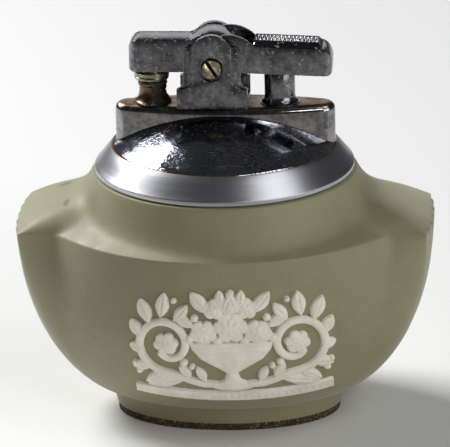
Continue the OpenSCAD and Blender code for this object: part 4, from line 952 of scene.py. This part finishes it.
def deck_outline(inset, steps=72):
    """One quarter of the deck's oval, two arcs that run into each other, from its middle to its end."""
    mid = DECK_HALF_W - DECK_END_R
    arc_r = (mid ** 2 + DECK_HALF_D ** 2 - DECK_END_R ** 2) / (2 * (DECK_HALF_D - DECK_END_R))
    meet = np.arctan2(arc_r - DECK_HALF_D, mid)
    a = np.linspace(np.pi / 2, meet, steps + 1)
    b = np.linspace(meet, 0, steps // 3 + 1)[1:]
    x = np.concatenate([(arc_r - inset) * np.cos(a), mid + (DECK_END_R - inset) * np.cos(b)])
    y = np.concatenate([(arc_r - inset) * np.sin(a) - (arc_r - DECK_HALF_D),
                        (DECK_END_R - inset) * np.sin(b)])
    return np.stack([x, y], -1)


def deck_ring(inset, z=None):
    """The deck's outline at a height, or where it meets the dome."""
    loop = mirrored(deck_outline(inset)) + (DECK_X, 0)
    if z is None:
        far = np.hypot(loop[:, 0], loop[:, 1])
        z = dome_height(np.minimum(far, PLATE_R), DOME_R)
    return np.column_stack([loop, np.broadcast_to(z, len(loop))])


def add_deck():
    """The oval deck: walls that stand on the dome, a rounded edge and a flat top."""
    edge = DECK_EDGE_R
    side_z, ceiling = DECK_Z - edge, DECK_Z - DECK_T
    foot_z = deck_ring(0)[:, 2] + DECK_FOOT_ROUND
    outer = [deck_ring(DECK_FOOT_ROUND)]
    outer += [deck_ring(0, foot_z * (1 - t) + side_z * t) for t in np.linspace(0, 1, 9)]
    for a in np.radians(np.linspace(0, 90, 13)[1:]):
        outer.append(deck_ring(edge * (1 - np.cos(a)), side_z + edge * np.sin(a)))
    outer += [deck_ring(edge + d, DECK_Z) for d in (0.25, 0.7, 1.3, DECK_FLAT)]
    inner = [deck_ring(edge + DECK_FLAT, ceiling), deck_ring(DECK_WALL + 0.6, ceiling)]
    inner += [deck_ring(DECK_WALL, ceiling - 0.5), deck_ring(DECK_WALL)]
    rings = outer + inner
    around, top, low = len(rings[0]), len(outer) - 1, len(outer)
    faces = ring_faces(len(rings), around, closed=True).tolist()
    # The top's and the ceiling's last rings are each closed, and not joined to each other
    faces = [f for f in faces if not (min(f) // around == top and max(f) // around == low)]
    faces.append([top * around + i for i in range(around)])
    faces.append([low * around + i for i in range(around)][::-1])
    piece = new_piece("deck_fine", np.concatenate(rings), faces, "tarnished_chrome", "deck")
    drill(piece, TUBE_HOLES + RIVET_HOLES, DECK_Z - 4, DECK_Z + 1)


def uneven(angle, z, seed):
    """A repeatable unevenness from -1 to 1 over a turned surface, from a few waves."""
    total = 0
    for k, (waves_round, waves_up, share) in enumerate(CRUST_WAVES):
        phase = seed * (k + 1.7) + 1.3 * np.sin(waves_up * z + seed + k)
        total = total + share * np.sin(waves_round * angle + phase)
    return total


def add_wick_tube():
    """The wick tube, burnt on its inner side to a ragged crust."""
    foot_r, lip_r, waist = WICK_TUBE_R + 1.5, WICK_TUBE_R + 0.3, WICK_TUBE_R
    bore, top, low = WICK_BORE_R, DECK_Z + WICK_TUBE_H, DECK_Z - WICK_SHANK_H
    profile = [(bore, low), (WICK_SHANK_R, low), (WICK_SHANK_R, DECK_Z + 0.02)]
    profile += [(foot_r - 0.08, DECK_Z + 0.02), (foot_r, DECK_Z + 0.15), (foot_r, DECK_Z + 0.28)]
    profile += flare(foot_r, waist, DECK_Z + 0.3, 3, 4, 22)
    profile += [(waist, z) for z in np.linspace(DECK_Z + 3.4, top - 1.3, 4)]
    profile += [(lip_r - 0.1, top - 1.1), (lip_r, top - 0.95), (lip_r, top - 0.6)]
    profile += [(lip_r, top - 0.2), (lip_r - 0.08, top - 0.05), (lip_r - 0.22, top)]
    profile += [(bore + 0.12, top), (bore, top - 0.15), (bore, DECK_Z + 1)]
    rings = turned(profile, (WICK_X, 0), SMALL_TURN)
    points = np.concatenate(rings)
    side, z = points[:, :2] - (WICK_X, 0), points[:, 2]
    far = np.hypot(side[:, 0], side[:, 1])
    angle = np.arctan2(side[:, 1], side[:, 0])
    shown = (z > DECK_Z + 0.25) & (far > bore + 0.3)
    crust = np.clip(np.cos(angle + 0.15) * 1.4 - 0.35, 0, 1) * np.clip((z - DECK_Z) / 1.2, 0, 1)
    swell = crust * (0.3 + 0.34 * uneven(angle, z * 2.2, 3.0)) + 0.03 * uneven(angle, z, 5.0)
    grow = np.where(shown, np.clip(swell, -0.04, 0.7), 0)
    points[:, :2] += side / far[:, None] * grow[:, None]
    faces = ring_faces(len(rings), SMALL_TURN, closed=True)
    new_piece("wick_tube_burnt", points, faces, "sooty_brass", "wick_tube", crease=50)


def add_post():
    """The spring post, with a flared foot. Its bore is closed round a core at the middle line."""
    foot_r, core, top = POST_R + 1.1, 0.3, DECK_Z + POST_H
    profile = [(core, POST_LOW), (POST_SHANK_R, POST_LOW), (POST_SHANK_R, DECK_Z + 0.02)]
    profile += [(foot_r - 0.06, DECK_Z + 0.02), (foot_r, DECK_Z + 0.1)]
    profile += flare(foot_r, POST_R, DECK_Z + 0.2, 1.8, 0, 20)
    profile += [(POST_R, DECK_Z + 4), (POST_R, top - 0.2), (POST_R - 0.06, top - 0.06), (POST_R - 0.2, top)]
    profile += [(POST_BORE_R + 0.1, top), (POST_BORE_R, top - 0.1), (POST_BORE_R, POST_LOW + 1)]
    profile += [(core, POST_LOW + 1)]
    lathe("post", profile, "worn_chrome", "spring_post", SMALL_TURN, centre=(POST_X, 0))


def add_cap():
    """The snuffer cap, with a groove round its mantle, and its stem in the arm's guide."""
    boss_r, stem_r, clip_r, core = 2.8, 1.0, 1.8, 0.2
    low = PIVOT[1] - ARM_DROP - CAP_H
    disc = PIVOT[1] - ARM_DROP - CAP_TRAVEL - 0.1
    clip = PIVOT[1] + 1 + 0.8 + 0.05
    mid = (low + disc) / 2 - 0.15
    profile = [(SEAL_R + 0.1, low), (CAP_R - CAP_TAPER - 0.12, low), (CAP_R - CAP_TAPER, low + 0.12)]
    profile += [(CAP_R - 0.08, mid - 0.2), (CAP_R - 0.16, mid - 0.1), (CAP_R - 0.26, mid)]
    profile += [(CAP_R - 0.16, mid + 0.1), (CAP_R - 0.03, mid + 0.2), (CAP_R, disc - 0.14)]
    profile += [(CAP_R - 0.14, disc), (boss_r, disc), (boss_r, disc + 1), (stem_r, disc + 1), (stem_r, clip)]
    profile += [(clip_r, clip), (clip_r, clip + 0.5), (core, clip + 0.5), (core, disc - 0.5)]
    profile += [(SEAL_R + 0.1, disc - 0.5)]
    lathe("cap", profile, "nickel", "snuffer_cap", SMALL_TURN, crease=30, centre=(WICK_X, 0))


def on_lever(along, up, degrees):
    """x and z of points given from the pivot, turned down by some degrees."""
    turn = np.radians(degrees)
    return (PIVOT[0] + along * np.cos(turn) + up * np.sin(turn),
            PIVOT[1] - along * np.sin(turn) + up * np.cos(turn))


def add_pad():
    """The thumb pad: smooth slopes round a top cut into small pyramids."""
    head, toe = 0.45, 1.0
    top_half = PAD_HALF_W - PAD_SLOPE
    xs = np.concatenate([[0, 0.2], np.linspace(head, PAD_L - toe, 200), [PAD_L - 0.6, PAD_L - 0.25, PAD_L]])
    ys = np.linspace(-top_half, top_half, 66)
    ys = np.concatenate([[-PAD_HALF_W, -3.4, -2.9], ys, [2.9, 3.4, PAD_HALF_W]])
    gx, gy = np.meshgrid(xs, ys)
    rise_x = np.minimum(np.clip(gx / head, 0, 1), np.clip((PAD_L - gx) / toe, 0, 1))
    share = np.minimum(rise_x, np.clip((PAD_HALF_W - np.abs(gy)) / PAD_SLOPE, 0, 1))
    height = PAD_RISE * (share - 0.12 * np.sin(np.pi * share) * (share < 1))
    ways = [np.abs((along / PYRAMID_PITCH) % 1 - 0.5) for along in (gx + gy, gx - gy)]
    cut = np.maximum(*ways) * 2
    inside = (gx > head + 0.1) & (gx < PAD_L - toe - 0.1) & (np.abs(gy) < top_half - 0.12)
    height = np.where(inside, height - PYRAMID_DEPTH * cut ** 1.3, height)
    rows, cols = gx.shape
    top = np.stack([gx, gy, height], -1).reshape(-1, 3)
    faces = grid_faces(rows - 1, cols - 1).tolist()
    index = np.arange(rows * cols).reshape(rows, cols)
    rim = np.concatenate([index[0], index[1:, -1], index[-1, -2::-1], index[-2:0:-1, 0]])
    faces.append(rim[::-1].tolist())
    x, z = on_lever(top[:, 0] + PAD_START, top[:, 2] + LEVER_TOP, LEVER_DROOP)
    new_piece("pad_knurled", np.stack([x, top[:, 1], z], -1), faces, "worn_chrome", "thumb_pad", crease=25)


def add_screw():
    """The pivot screw, with a broad worn slot across its head."""
    piece = edged("pivot_screw")
    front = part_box("pivot_screw")[0][1] / MM
    half_length, depth, half_width = 4.0, 0.6, 0.42
    corners = np.array([(x, y, z) for x in (-1, 1) for y in (-1, 1) for z in (-1, 1)])
    corners = corners * (half_length, depth, half_width)
    x, z = on_lever(corners[:, 0], corners[:, 2], SCREW_SLOT_TURN)
    faces = [(0, 1, 3, 2), (4, 6, 7, 5), (0, 4, 5, 1), (2, 3, 7, 6), (0, 2, 6, 4), (1, 5, 7, 3)]
    cut_out(piece, np.stack([x, front + corners[:, 1], z], -1), faces, crease=35)
    paint(piece.data, "screw_metal")


add_camera()
add_jar()
add_relief("relief_front_fine", "relief_front", False)
add_relief("relief_back_fine", "relief_back", True)
add_collar()
add_dome()
add_deck()
add_wick_tube()
add_post()
add_cap()
add_pad()
add_screw()

for node_name in ("front_cheek", "rear_cheek", "snuffer_arm", "thumb_lever"):
    edged(node_name, WORN_EDGE)
for node_name in ("frame_floor", "frame_rivets", "spark_wheel", "ratchet_wheel", "plunger"):
    edged(node_name)

for node_name, obj in frame["nodes"].items():
    paint(obj.data, SLOT_OF[node_name])


# Stage and light
PAPER, FAR_PAPER, TABLE = (233, 233, 232), (212, 212, 212), (178, 175, 170)
FLOOR_HALF = 6000
ROOM_LIGHT = 0.036
LAMP_AIM = Vector((0, 0, 50)) * MM
# name, direction from the object, distance, width, height, watts, spread in degrees
LAMPS = (
    ("left_box", (-0.623, 0.405, 0.669), 1.1, 0.45, 0.45, 15.8, 180),
    ("side_box", (-0.805, 0.085, 0.588), 1.1, 0.42, 0.62, 0.8, 180),
    ("right_box", (0.567, -0.241, 0.788), 1.1, 0.56, 0.44, 1.5, 160),
    ("front_box", (0.805, -0.556, 0.208), 1.1, 0.8, 0.62, 4.5, 180),
    ("front_lamp", (0.368, -0.754, 0.545), 1.1, 0.2, 0.16, 1.0, 180),
    ("back_card", (-0.084, 0.958, 0.276), 1.3, 1.0, 0.42, 1.15, 180),
)


def stage_material():
    """Pale paper, a little greyer far back, that ends out of the picture on a table towards the camera."""
    s = Shader("paper")
    _, y, _ = s.split()
    fibre = s.noise(1.2)
    colour = s.mix(fibre, PAPER, tuple(v + 3 for v in PAPER))
    far = s.times(s.plus(s.ramp(y, -0.08, 0.14), s.ramp(y, 0.06, 0.42)), 0.5)
    colour = s.mix(far, colour, FAR_PAPER)
    colour = s.mix(s.ramp(y, -0.075, -0.135), colour, TABLE)
    s.set(Base_Color=colour, Roughness=s.blend(fibre, 0.85, 0.95))
    s.set(Specular_IOR_Level=0.1)
    return s.material


def add_floor():
    corners = [(x * FLOOR_HALF, y * FLOOR_HALF, 0) for x, y in ((-1, -1), (1, -1), (1, 1), (-1, 1))]
    mesh = mesh_of("floor", corners, [(0, 1, 2, 3)])
    mesh.materials.append(stage_material())
    add_object("floor", mesh)


def add_softbox(name, way, distance, width, height, watts, spread):
    """A soft area light in a direction from the object, facing it."""
    data = bpy.data.lights.new(name, "AREA")
    data.shape = "RECTANGLE"
    data.size, data.size_y = width, height
    data.energy = watts
    data.spread = math.radians(spread)
    light = add_object(name, data)
    way = Vector(way).normalized()
    light.location = way * distance + LAMP_AIM
    light.rotation_mode = "QUATERNION"
    light.rotation_quaternion = way.to_track_quat("Z", "Y")


def add_world():
    """A dim room, a little lighter low down."""
    world = bpy.data.worlds.new("studio")
    bpy.context.scene.world = world
    world.use_nodes = True
    tree = world.node_tree
    tree.nodes.clear()
    kinds = ("OutputWorld", "Background", "TexCoord", "SeparateXYZ", "MapRange")
    output, background, place, parts, ramp = (tree.nodes.new("ShaderNode" + kind) for kind in kinds)
    ramp.interpolation_type = "SMOOTHSTEP"
    for k, value in ((1, 0.0), (2, 0.6), (3, 2.2 * ROOM_LIGHT), (4, ROOM_LIGHT)):
        ramp.inputs[k].default_value = value
    ways = ((place, "Generated", parts), (parts, "Z", ramp), (ramp, 0, background), (background, 0, output))
    for start, socket, end in ways:
        tree.links.new(start.outputs[socket], end.inputs[0])


add_floor()
add_world()
for lamp in LAMPS:
    add_softbox(*lamp)

bpy.context.scene.view_settings.view_transform = "Standard"
